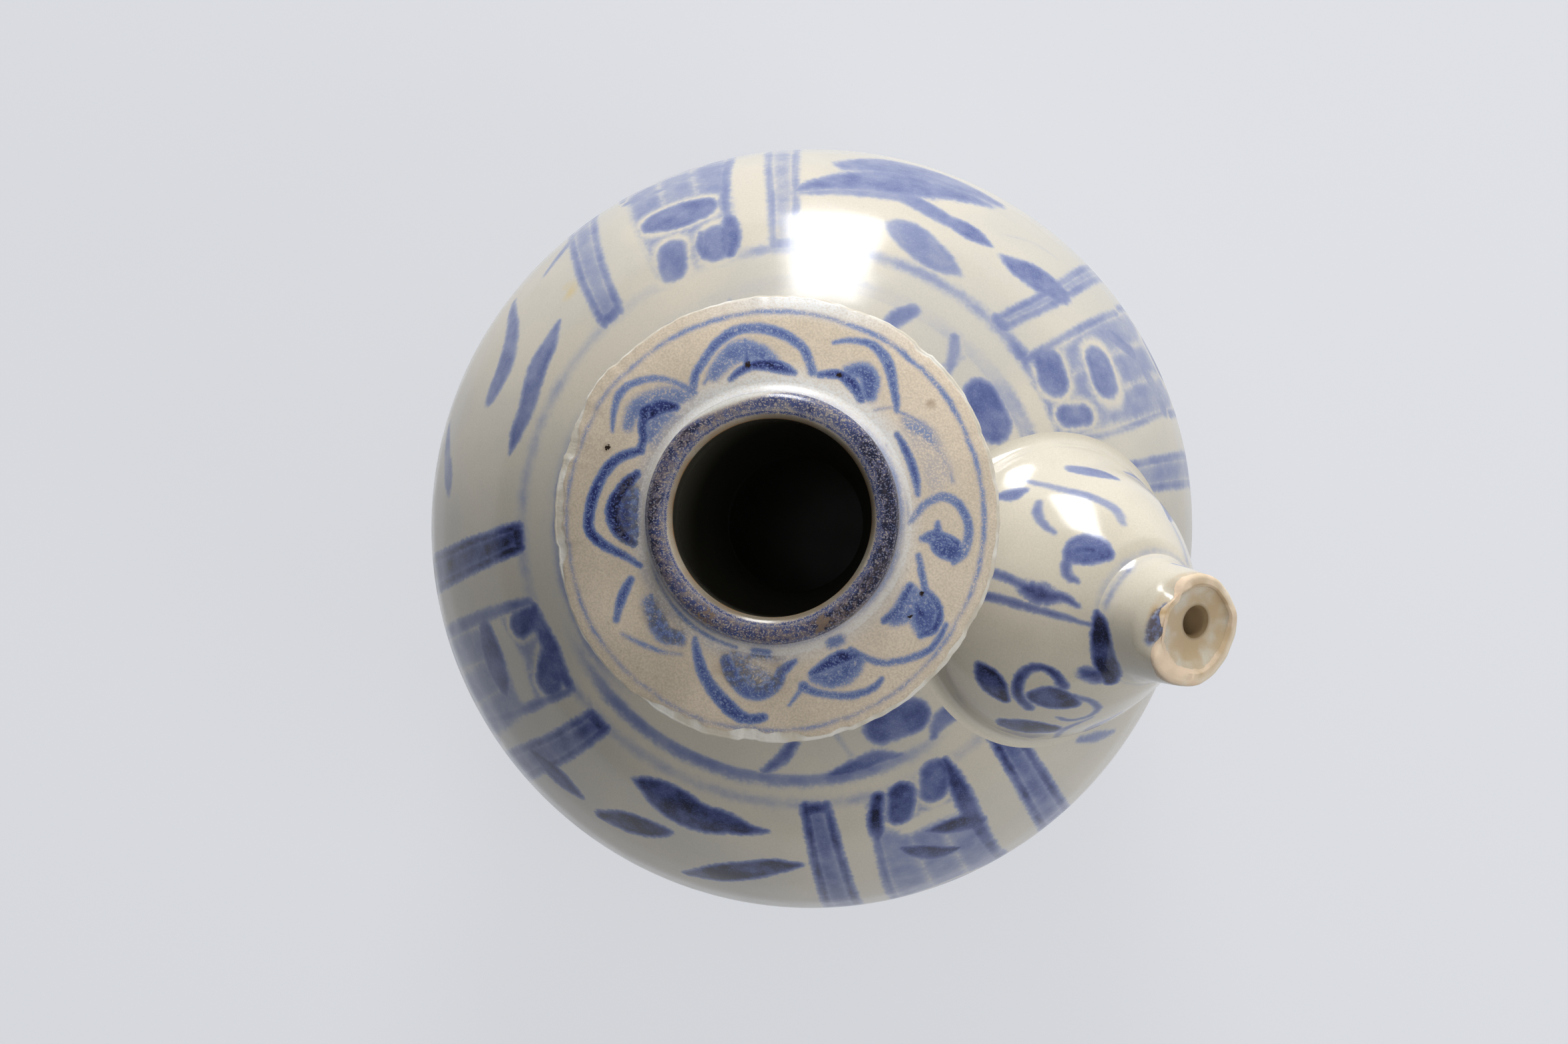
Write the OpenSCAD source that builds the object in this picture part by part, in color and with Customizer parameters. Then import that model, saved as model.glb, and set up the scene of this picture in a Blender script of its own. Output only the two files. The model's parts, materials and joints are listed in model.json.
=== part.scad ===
// Blue and white porcelain kendi, a pouring vessel with a flanged mouth and a bulbous spout.
// It is drawn as the potter makes it: thrown and moulded pieces, each luted to the next with slip.
// Z is the vessel's axis, Z = 0 is the table and the spout points along +X. Units are millimetres.

/* [Body] */
// Widest outside diameter of the body
body_d = 150; // [140:1:175]
// Height of the widest point, where the two body halves are luted together
belly_z = 60; // [50:1:70]
// Wall of the two body halves
body_wall = 5; // [3.5:0.5:7]
// Thickness of the floor inside the body
floor_t = 6; // [4:0.5:9]

/* [Foot] */
// Outside diameter of the foot ring
foot_d = 80; // [60:1:95]
// Height of the foot ring
foot_h = 6; // [4:0.5:10]
// Width of the foot ring across its top
foot_w = 7; // [5:0.5:10]
// Bevel cut on both lower edges of the foot ring
foot_bevel = 1.2; // [0.5:0.1:1.8]
// Ledge of the body that shows outside the foot ring
foot_ledge = 3; // [1:0.5:6]

/* [Neck] */
// Height of the shoulder where the neck is luted on
neck_z = 113; // [105:1:120]
// Length of the neck between the shoulder and the flange
neck_l = 53; // [40:1:70]
// Outside diameter of the neck at the shoulder
neck_base_d = 44; // [41:0.5:45]
// Outside diameter of the neck at its waist
neck_waist_d = 38; // [36:0.5:40]
// Outside diameter of the neck under the flange
neck_top_d = 41; // [40.5:0.5:44]
// Bore of the neck where it opens into the body
neck_bore_d = 25; // [20:0.5:31]

/* [Mouth] */
// Bore of the mouth, through the flange and the collar
mouth_bore_d = 33.4; // [30:0.2:35]
// Outside diameter of the flange
flange_d = 76; // [66:1:86]
// Thickness of the flange at its root
flange_root = 6; // [4.5:0.5:8]
// Thickness of the flange at its rounded edge
flange_edge = 2.6; // [2:0.2:4]
// Drop of the flange's top from the collar to its edge
flange_drop = 4; // [1:0.5:8]
// Wall of the upright collar
collar_wall = 4.6; // [3:0.2:5]
// Height of the collar above the flange
collar_h = 9; // [6:0.5:14]

/* [Spout] */
// Place of the spout on the shoulder's curve, as an angle up from the belly
spout_seat_angle = 47; // [40:1:47]
// Slope of the spout's axis above the horizontal
spout_slope = 50; // [42:1:56]
// Outside diameter of the bulb
bulb_d = 56; // [50:1:57]
// Wall of the bulb
bulb_wall = 4; // [3:0.5:6]
// Depth of the bulb's centre under the shoulder, along the spout
bulb_sunk = 4; // [2:0.5:6]
// Distance from the bulb's centre to the nozzle's joint
bulb_front = 29.5; // [27:0.5:32]
// How far in front of its centre the bulb keeps its fullness
bulb_swell = 9; // [6:0.5:14]
// Outside diameter of the nozzle at the bulb
nozzle_base_d = 22.4; // [21:0.2:26]
// Outside diameter of the nozzle at its tip
nozzle_tip_d = 20.4; // [18:0.2:20.8]
// Length of the nozzle
nozzle_l = 11.5; // [8:0.5:20]
// Bore of the nozzle
nozzle_bore_d = 5; // [4:0.5:7]
// Diameter of the recess in the nozzle's end
recess_d = 14.4; // [10:0.2:15]
// Depth of the recess in the nozzle's end
recess_depth = 4; // [2:0.5:6]
// Hole pierced through the shoulder into the spout
pour_hole_d = 18; // [10:1:24]

/* [Luting] */
// Thickness of the slip in every luted joint
luting = 0.6; // [0.3:0.1:1.2]
// Width of the slip bead round the foot of the spout
luting_bead = 2; // [0.5:0.5:2.5]
// Radius of the slip cove round the foot of the collar
collar_cove = 2; // [1:0.5:4]

/* [Hidden] */
$fn = 96;
// Segments of each profile curve
curve_steps = 24;
// Overlap that carries a cutting shape past the face it cuts
cut_past = 1;

glaze_colour = [0.84, 0.80, 0.72];
flange_colour = [0.78, 0.71, 0.62];
cobalt_colour = [0.36, 0.38, 0.52];
biscuit_colour = [0.85, 0.72, 0.58];
slip_colour = [0.90, 0.87, 0.80];

body_r = body_d / 2;
foot_r = foot_d / 2;
foot_in_r = foot_r - foot_w;
neck_base_r = neck_base_d / 2;
neck_waist_r = neck_waist_d / 2;
neck_top_r = neck_top_d / 2;
neck_bore_r = neck_bore_d / 2;
mouth_r = mouth_bore_d / 2;
flange_r = flange_d / 2;
collar_r = mouth_r + collar_wall;
collar_seat_r = collar_r + collar_cove;
bulb_r = bulb_d / 2;
bulb_in_r = bulb_r - bulb_wall;
nozzle_base_r = nozzle_base_d / 2;
nozzle_tip_r = nozzle_tip_d / 2;
nozzle_bore_r = nozzle_bore_d / 2;
recess_r = recess_d / 2;

// Each half of the body is an ellipse about the belly. The lower one passes through the ledge at the foot,
// and the upper one through the neck's joint.
base_z = foot_h + luting;
base_fall = (belly_z - base_z) / sqrt(1 - pow((foot_r + foot_ledge) / body_r, 2));
shoulder_rise = (neck_z - belly_z) / sqrt(1 - pow(neck_base_r / body_r, 2));
lower_seam_z = belly_z - luting / 2;
upper_seam_z = belly_z + luting / 2;

neck_bottom_z = neck_z + luting;
neck_top_z = neck_bottom_z + neck_l;
// Height over which the cove at the neck's foot dies away
neck_cove = neck_l / 9;
flange_z = neck_top_z + luting;
flange_top_z = flange_z + flange_root;
collar_z = flange_top_z + luting;
collar_top_z = collar_z + collar_h;
lip_r = collar_wall * 0.45;

// The spout's frame has its origin at the bulb's centre and its own Z along the spout.
spout_seat = [body_r * cos(spout_seat_angle), belly_z + shoulder_rise * sin(spout_seat_angle)];
spout_axis = [cos(spout_slope), sin(spout_slope)];
bulb_centre = spout_seat - bulb_sunk * spout_axis;
// How far the bulb is drawn behind its centre before the shoulder trims it
bulb_back = bulb_r * 0.6;
nozzle_z = bulb_front + luting;
nozzle_tip_z = nozzle_z + nozzle_l;
nozzle_lip_r = min(nozzle_tip_r - recess_r, nozzle_l) * 0.4;

// Points of an elliptic arc about [0, z] with half axes a and b, from angle t0 to t1
function arc(a, b, z, t0, t1, steps = curve_steps) =
    [for (i = [0:steps]) let (t = t0 + (t1 - t0) * i / steps) [a * cos(t), z + b * sin(t)]];

// Points of a round edge of radius r about [x, z], from angle t0 to t1
function round_edge(x, z, r, t0, t1, steps = 8) = [for (p = arc(r, r, z, t0, t1, steps)) p + [x, 0]];

// Angle on an ellipse of half axis b at height h from its centre
function arc_angle(h, b) = asin(h / b);

// Outside radius of the neck: a waist that swells to the flange and runs into the shoulder with a cove
function neck_r(h) = neck_waist_r + (neck_base_r - neck_waist_r) * exp(-h / neck_cove)
    + (neck_top_r - neck_waist_r) * pow(h / neck_l, 3);

// Height of the flange's top at radius r: level under the collar and falling faster towards the edge
function flange_top(r) =
    flange_top_z - flange_drop * pow(max(r - collar_seat_r, 0) / (flange_r - collar_seat_r), 2);

// Height of the flange's underside at radius r: thin at the edge and deepest at the neck
function flange_under(r) = let (share = (r - neck_top_r) / (flange_r - neck_top_r))
    flange_top(r) - flange_edge - (flange_top(neck_top_r) - flange_z - flange_edge) * pow(1 - share, 2);

// Points of the bulb's front: it leaves its widest circle square to it and narrows ever faster to the joint
function bulb_curve(r, joint_r, front) = [for (i = [0:curve_steps]) let (s = i / curve_steps)
    [r - (r - joint_r) * s * s, 2 * bulb_swell * s * (1 - s) + front * s * s]];

// Moves a shape from the spout's own frame to its place on the shoulder
module at_spout() {
    translate([bulb_centre[0], 0, bulb_centre[1]]) rotate([0, 90 - spout_slope, 0]) children();
}

// The shoulder as a filled dome, swollen by the given allowance
module shoulder_dome(swell = 0) {
    a = body_r + swell;
    b = shoulder_rise + swell;
    rotate_extrude() polygon(concat([[0, belly_z], [a, belly_z]], arc(a, b, belly_z, 0, 90)));
}

// Solid of revolution inside the bulb's outline: a ball behind its centre and a dome in front of it
module bulb_solid(r, joint_r, front, back) {
    tail = arc(r, r, 0, -asin(back / r), 0);
    rotate_extrude() polygon(concat([[0, -back]], tail, bulb_curve(r, joint_r, front), [[0, front]]));
}

// The hollow of the bulb, in the spout's own frame
module bulb_hollow() {
    bulb_solid(bulb_in_r, nozzle_base_r - bulb_wall, bulb_front - bulb_wall, bulb_in_r * 0.95);
}

module foot_ring() {
    color(biscuit_colour) rotate_extrude() polygon([
        [foot_in_r + foot_bevel, 0], [foot_r - foot_bevel, 0], [foot_r, foot_bevel], [foot_r, foot_h],
        [foot_in_r, foot_h], [foot_in_r, foot_bevel]]);
}

module foot_luting() {
    color(slip_colour) translate([0, 0, foot_h]) ring(foot_r, foot_in_r, luting);
}

// Flat ring from height 0
module ring(outer, inner, h) {
    rotate_extrude() translate([inner, 0]) square([outer - inner, h]);
}

module lower_body() {
    floor_z = base_z + floor_t;
    inner_r = body_r - body_wall;
    inner_fall = base_fall - body_wall;
    outside = arc(body_r, base_fall, belly_z, arc_angle(base_z - belly_z, base_fall),
                  arc_angle(-luting / 2, base_fall));
    inside = arc(inner_r, inner_fall, belly_z, arc_angle(-luting / 2, inner_fall),
                 arc_angle(floor_z - belly_z, inner_fall));
    color(glaze_colour) rotate_extrude() polygon(concat([[0, base_z]], outside, inside, [[0, floor_z]]));
}

module belly_luting() {
    color(slip_colour) translate([0, 0, lower_seam_z]) ring(body_r - luting / 2, body_r - body_wall, luting);
}

module upper_body() {
    inner_r = body_r - body_wall;
    inner_rise = shoulder_rise - body_wall;
    outside = arc(body_r, shoulder_rise, belly_z, arc_angle(luting / 2, shoulder_rise),
                  arc_angle(neck_z - belly_z, shoulder_rise));
    inside = arc(inner_r, inner_rise, belly_z, acos(neck_bore_r / inner_r), arc_angle(luting / 2, inner_rise));
    color(glaze_colour) difference() {
        rotate_extrude() polygon(concat(outside, [[neck_bore_r, neck_z]], inside));
        at_spout() translate([0, 0, -bulb_r])
            cylinder(d = pour_hole_d, h = bulb_r + bulb_sunk + cut_past);
    }
}

module neck_luting() {
    color(slip_colour) translate([0, 0, neck_z]) ring(neck_base_r, neck_bore_r, luting);
}

module neck() {
    outside = [for (i = [0:curve_steps]) let (h = neck_l * i / curve_steps) [neck_r(h), neck_bottom_z + h]];
    color(glaze_colour) rotate_extrude() polygon(concat(outside,
        [[mouth_r, neck_top_z], [neck_bore_r, neck_bottom_z]]));
}

module flange_luting() {
    color(slip_colour) translate([0, 0, neck_top_z]) ring(neck_top_r, mouth_r, luting);
}

module mouth_flange() {
    edge_r = flange_edge / 2;
    rim_r = flange_r - edge_r;
    top = [for (i = [0:curve_steps]) let (r = collar_seat_r + (rim_r - collar_seat_r) * i / curve_steps)
        [r, flange_top(r)]];
    under = [for (i = [0:curve_steps]) let (r = rim_r + (neck_top_r - rim_r) * i / curve_steps)
        [r, flange_under(r)]];
    rim = round_edge(rim_r, (flange_top(rim_r) + flange_under(rim_r)) / 2,
                     (flange_top(rim_r) - flange_under(rim_r)) / 2, 75, -75);
    color(flange_colour) rotate_extrude() polygon(concat([[mouth_r, flange_top_z]], top, rim, under,
        [[mouth_r, flange_z]]));
}

module collar_luting() {
    color(slip_colour) rotate_extrude() polygon(concat(
        [[mouth_r, flange_top_z], [collar_seat_r, flange_top_z]],
        round_edge(collar_seat_r, collar_z + collar_cove, collar_cove, 270, 180),
        [[collar_r, collar_z], [mouth_r, collar_z]]));
}

module mouth_collar() {
    lip_z = collar_top_z - lip_r;
    color(cobalt_colour) rotate_extrude() polygon(concat(
        [[mouth_r, collar_z], [collar_r, collar_z]],
        round_edge(collar_r - lip_r, lip_z, lip_r, 0, 90),
        round_edge(mouth_r + lip_r, lip_z, lip_r, 90, 180)));
}

module spout_luting() {
    color(slip_colour) difference() {
        intersection() {
            at_spout() bulb_solid(bulb_r + luting_bead, nozzle_base_r, bulb_front, bulb_back);
            shoulder_dome(luting);
        }
        shoulder_dome();
        at_spout() bulb_hollow();
    }
}

module spout_bulb() {
    color(glaze_colour) difference() {
        at_spout() difference() {
            bulb_solid(bulb_r, nozzle_base_r, bulb_front, bulb_back);
            bulb_hollow();
            cylinder(r = nozzle_bore_r, h = bulb_front + cut_past);
        }
        shoulder_dome(luting);
    }
}

module nozzle_luting() {
    color(slip_colour) at_spout() translate([0, 0, bulb_front]) ring(nozzle_base_r, nozzle_bore_r, luting);
}

module spout_nozzle() {
    end = round_edge(nozzle_tip_r - nozzle_lip_r, nozzle_tip_z - nozzle_lip_r, nozzle_lip_r, 0, 90);
    color(glaze_colour) at_spout() rotate_extrude() polygon(concat(
        [[nozzle_bore_r, nozzle_z], [nozzle_base_r, nozzle_z]], end,
        [[recess_r, nozzle_tip_z], [nozzle_bore_r, nozzle_tip_z - recess_depth]]));
}

foot_ring();
foot_luting();
lower_body();
belly_luting();
upper_body();
neck_luting();
neck();
flange_luting();
mouth_flange();
collar_luting();
mouth_collar();
spout_luting();
spout_bulb();
nozzle_luting();
spout_nozzle();
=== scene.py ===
"""Looks of a blue and white porcelain kendi: its thrown pieces, cobalt painting, glaze and studio.

Shapes are worked out in millimetres about the vessel's axis, with +X towards the spout, and go into the
meshes in metres. The painter's strokes are short lists of points on each surface. Every vertex stores how
deep it lies inside the nearest stroke, and the glaze turns that depth into a soft, grainy cobalt edge.
"""

import json
import logging
import math
from dataclasses import dataclass, field
from enum import Enum
from typing import Callable

import bpy
import numpy as np
from mathutils import Matrix, Vector


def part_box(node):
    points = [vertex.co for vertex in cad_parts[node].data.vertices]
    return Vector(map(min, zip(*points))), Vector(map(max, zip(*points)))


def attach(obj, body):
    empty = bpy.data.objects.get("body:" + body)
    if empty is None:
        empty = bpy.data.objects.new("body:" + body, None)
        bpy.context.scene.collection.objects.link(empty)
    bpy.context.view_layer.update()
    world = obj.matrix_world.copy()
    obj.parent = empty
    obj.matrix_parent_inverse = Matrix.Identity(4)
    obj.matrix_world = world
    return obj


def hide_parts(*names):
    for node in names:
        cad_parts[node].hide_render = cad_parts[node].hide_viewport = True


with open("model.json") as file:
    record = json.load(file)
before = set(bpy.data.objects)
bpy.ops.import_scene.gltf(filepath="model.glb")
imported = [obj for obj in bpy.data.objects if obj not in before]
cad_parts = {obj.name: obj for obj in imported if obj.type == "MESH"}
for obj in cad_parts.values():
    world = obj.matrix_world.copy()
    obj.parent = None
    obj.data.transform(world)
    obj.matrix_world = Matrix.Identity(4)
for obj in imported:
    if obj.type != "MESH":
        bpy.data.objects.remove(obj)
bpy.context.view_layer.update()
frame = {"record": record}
LOG = logging.getLogger("kendi")
MM = 0.001
SHARP_ANGLE = math.radians(42.0)

Array = np.ndarray
Socket = bpy.types.NodeSocket
Colour = tuple[float, float, float]
Corner = Array | tuple[float, float]
Place = Callable[[Array, Array], Array]
Stops = tuple[tuple[float, Colour], ...]


class Layer(Enum):
    """What a stroke is laid down as."""

    WASH = "wash"
    LINE = "line"
    IRON = "iron"
    RESERVE = "reserve"


@dataclass(frozen=True)
class Stroke:
    """One brush stroke.

    Each point holds two places on the surface, in the painter's own degrees or millimetres, and the half
    width of the brush there in millimetres. The tone runs from 0, bare, to 1, black-blue.
    """

    tone: float
    points: tuple[tuple[float, float, float], ...]
    layer: Layer = Layer.LINE


def line(tone: float, *points: tuple[float, float, float]) -> Stroke:
    """Return a firm stroke of the loaded brush."""
    return Stroke(tone, points)


def wash(tone: float, *points: tuple[float, float, float]) -> Stroke:
    """Return a soft stroke of thinned cobalt."""
    return Stroke(tone, points, Layer.WASH)


def reserve(*points: tuple[float, float, float]) -> Stroke:
    """Return a stroke that keeps the wash off, so that the ground shows round a motif."""
    return Stroke(1.0, points, Layer.RESERVE)


def pit(azimuth: float, station: float, half: float) -> Stroke:
    """Return a round iron spot."""
    return Stroke(1.0, ((azimuth, station, half), (azimuth + 0.1, station, half)), Layer.IRON)


def srgb(colour: Colour) -> tuple[float, float, float, float]:
    """Return the linear colour, with alpha, of an 8-bit screen colour.

    Args:
        colour: Red, green and blue from 0 to 255.

    Returns:
        The colour as a node takes it.
    """
    share = np.array(colour) / 255.0
    linear = np.where(share <= 0.04045, share / 12.92, ((share + 0.055) / 1.055) ** 2.4)
    return (*map(float, linear), 1.0)


def smooth(low: float, high: float, value: Array) -> Array:
    """Return an S-shaped rise from 0 at low to 1 at high."""
    share = np.clip((value - low) / (high - low), 0.0, 1.0)
    return share * share * (3.0 - 2.0 * share)


def window(azimuth: Array, centre: float, half: float) -> Array:
    """Return 1 within half degrees of a centre azimuth, falling softly to 0 outside it."""
    gap = np.abs((azimuth - centre + 180.0) % 360.0 - 180.0)
    return 1.0 - smooth(0.7 * half, 1.3 * half, gap)


def patches(azimuth: Array, *parts: tuple[float, float, float]) -> Array:
    """Return the sum of soft patches round an axis, each with its strength, centre and half width."""
    return sum(strength * window(azimuth, centre, half) for strength, centre, half in parts)


def waves(angle: Array, *parts: tuple[float, float, float]) -> Array:
    """Return the sum of sine waves round an axis, each with its height, count and phase."""
    return sum(height * np.sin(count * angle + phase) for height, count, phase in parts)


def bell(azimuth: Array, centre: float, half: float) -> Array:
    """Return a bell-shaped rise to 1 about a centre azimuth, carried on across the half turn."""
    gap = (azimuth - centre + 180.0) % 360.0 - 180.0
    return np.exp(-np.square(gap / half))


def steps(start: float, end: float, count: int) -> Array:
    """Return even steps with one close step at each end, so that normals match at a seam.

    Args:
        start: The first value.
        end: The last value.
        count: How many values are even.

    Returns:
        The values in order, two more than the count.
    """
    even = np.linspace(start, end, count)
    close = 0.1 * (even[1] - even[0])
    return np.concatenate([even[:1], [start + close], even[1:-1], [end - close], even[-1:]])


def flowing(points: Array, per_span: int = 6) -> Array:
    """Return a curve through the points, each span a cubic whose slope follows its neighbours.

    Args:
        points: Control points, one to a row.
        per_span: Steps in each span.

    Returns:
        The points of the curve, one to a row.
    """
    ends = np.vstack([2.0 * points[0] - points[1], points, 2.0 * points[-1] - points[-2]])
    count = len(points) - 1
    a, b, c, d = (ends[i:i + count, None] for i in range(4))
    t = np.linspace(0.0, 1.0, per_span, endpoint=False)[None, :, None]
    curve = 0.5 * (2.0 * b + (c - a) * t + (2.0 * a - 5.0 * b + 4.0 * c - d) * t ** 2
                   + (3.0 * b - a - 3.0 * c + d) * t ** 3)
    return np.vstack([curve.reshape(-1, points.shape[1]), points[-1:]])


def arc(centre_r: float, centre_z: float, radius: float, start: float, end: float, count: int) -> Array:
    """Return points of a round edge in the plane of the section, angles in degrees."""
    angle = np.radians(np.linspace(start, end, count))
    return np.column_stack([centre_r + radius * np.cos(angle), centre_z + radius * np.sin(angle)])


def straight(start: Corner, end: Corner, count: int) -> Array:
    """Return even points from start to end, both included."""
    share = np.linspace(0.0, 1.0, count)[:, None]
    return np.asarray(start) * (1.0 - share) + np.asarray(end) * share


def walls(corner: Corner, *stops: tuple[Corner, int]) -> list[Array]:
    """Return straight runs from a first corner to each next one, given with its count of points.

    Args:
        corner: Where the first run starts.
        *stops: Where each run ends, and its points.

    Returns:
        The points of each run.
    """
    runs = []
    for end, count in stops:
        runs.append(straight(corner, end, count))
        corner = end
    return runs


def even_turns(columns: int) -> Array:
    """Return even turns in degrees, running backwards from 0 and kept within half a turn."""
    return (-np.arange(columns) * (360.0 / columns) + 180.0) % 360.0 - 180.0


def about_axis(azimuth: Array, radius: Array, height: Array) -> Array:
    """Return points at an azimuth in degrees, a radius and a height about the vessel's axis."""
    turn = np.radians(azimuth)
    return np.stack(np.broadcast_arrays(radius * np.cos(turn), radius * np.sin(turn), height), axis=-1)


def fillet(start: Array, corner: Array, end: Array, count: int) -> Array:
    """Return a hollow curve from start to end that is drawn towards the corner.

    The curve is the quadratic (1-s)^2 start + 2s(1-s) corner + s^2 end, so it leaves both walls along them.
    """
    s = np.linspace(0.0, 1.0, count).reshape(-1, *([1] * np.ndim(start)))
    return (1.0 - s) ** 2 * start + 2.0 * s * (1.0 - s) * corner + s ** 2 * end


def joined(*runs: Array) -> tuple[Array, Array]:
    """Join the runs of a section end to end.

    Args:
        runs: Points of each run. A run's last point is dropped where the next one starts on it.

    Returns:
        All points of the closed section, and the number of the run that each belongs to.
    """
    kept = []
    for i, run in enumerate(runs):
        following = runs[(i + 1) % len(runs)]
        meets = np.allclose(run[-1], following[0], atol=1e-6)
        kept.append(run[:-1] if meets else run)
    tags = np.concatenate([np.full(len(run), i) for i, run in enumerate(kept)])
    return np.vstack(kept), tags


def thrown(points: Array) -> Array:
    """Return points with the unevenness of throwing.

    The radius about the axis swells by two slow waves round the vessel and one fine wave up its wall.

    Args:
        points: Points of a turned surface.

    Returns:
        The points moved in or out.
    """
    x, y, z = points[..., 0], points[..., 1], points[..., 2]
    angle = np.arctan2(y, x)
    radius = np.hypot(x, y)
    swell = waves(angle, (0.0022, 2.0, 0.6), (0.0014, 3.0, -1.1))
    ridges = 0.0005 * np.sin(z / 1.25 + 0.9 * np.sin(angle)) * smooth(20.0, 45.0, radius)
    factor = 1.0 + swell + ridges
    return np.stack([x * factor, y * factor, z], axis=-1)


@dataclass
class Skin:
    """Closed grid of one piece: rows follow the wall's section and columns run round it.

    Azimuth and station are the painter's two coordinates of each point. Rows wrap, unless the first and the
    last one are poles on the axis.
    """

    points: Array
    azimuth: Array
    station: Array
    painted: Array
    poles: bool = False
    tags: Array | None = None

    @classmethod
    def revolved(cls, section: Array, tags: Array, columns: int, painted: tuple[int, ...],
                 station: Array | None = None, poles: bool = False) -> "Skin":
        """Turn a section, drawn in radius and height, about the vessel's axis.

        Args:
            section: Points (radius, height) of the section, its outer wall running upwards.
            tags: Number of the run that each point belongs to.
            columns: Points round the axis.
            painted: Numbers of the runs that the painter reaches.
            station: The painter's second coordinate of each point, or None for the height.
            poles: Whether the section starts and ends on the axis.

        Returns:
            The closed grid.
        """
        turn = np.degrees(np.arange(columns) * (2.0 * np.pi / columns))
        points = about_axis(turn, section[:, :1], section[:, 1:])
        shape = points.shape[:2]
        azimuth = np.broadcast_to((turn + 180.0) % 360.0 - 180.0, shape)
        along = section[:, 1] if station is None else station
        reached = np.isin(tags, painted)[:, None]
        return cls(points, azimuth, np.broadcast_to(along[:, None], shape),
                   np.broadcast_to(reached, shape), poles, tags)

    def gather(self, values: Array) -> Array:
        """Return a value of the grid for each vertex, with a pole's row kept once.

        Args:
            values: A value or a vector for each point of the grid.

        Returns:
            The values in the order of the vertices.
        """
        tail = values.shape[2:]
        if not self.poles:
            return values.reshape(-1, *tail)
        return np.concatenate([values[0, :1], values[1:-1].reshape(-1, *tail), values[-1, :1]])

    def faces(self) -> list[list[int]]:
        """Return the faces, which turn outwards: quads between rows and triangles at the poles.

        Returns:
            The vertex numbers of each face.
        """
        rows, columns = self.points.shape[:2]
        if self.poles:
            inner = 1 + np.arange((rows - 2) * columns).reshape(rows - 2, columns)
            low, high = inner[:-1], inner[1:]
        else:
            low = np.arange(rows * columns).reshape(rows, columns)
            high = np.roll(low, -1, axis=0)
        quads = np.stack([low, np.roll(low, -1, axis=1), np.roll(high, -1, axis=1), high], axis=-1)
        faces = quads.reshape(-1, 4).tolist()
        if self.poles:
            last = 1 + (rows - 2) * columns
            first_ring, last_ring = inner[0], inner[-1]
            start = np.stack([np.zeros_like(first_ring), np.roll(first_ring, -1), first_ring], axis=-1)
            end = np.stack([last_ring, np.roll(last_ring, -1), np.full_like(last_ring, last)], axis=-1)
            faces += start.tolist() + end.tolist()
        return faces


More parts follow.
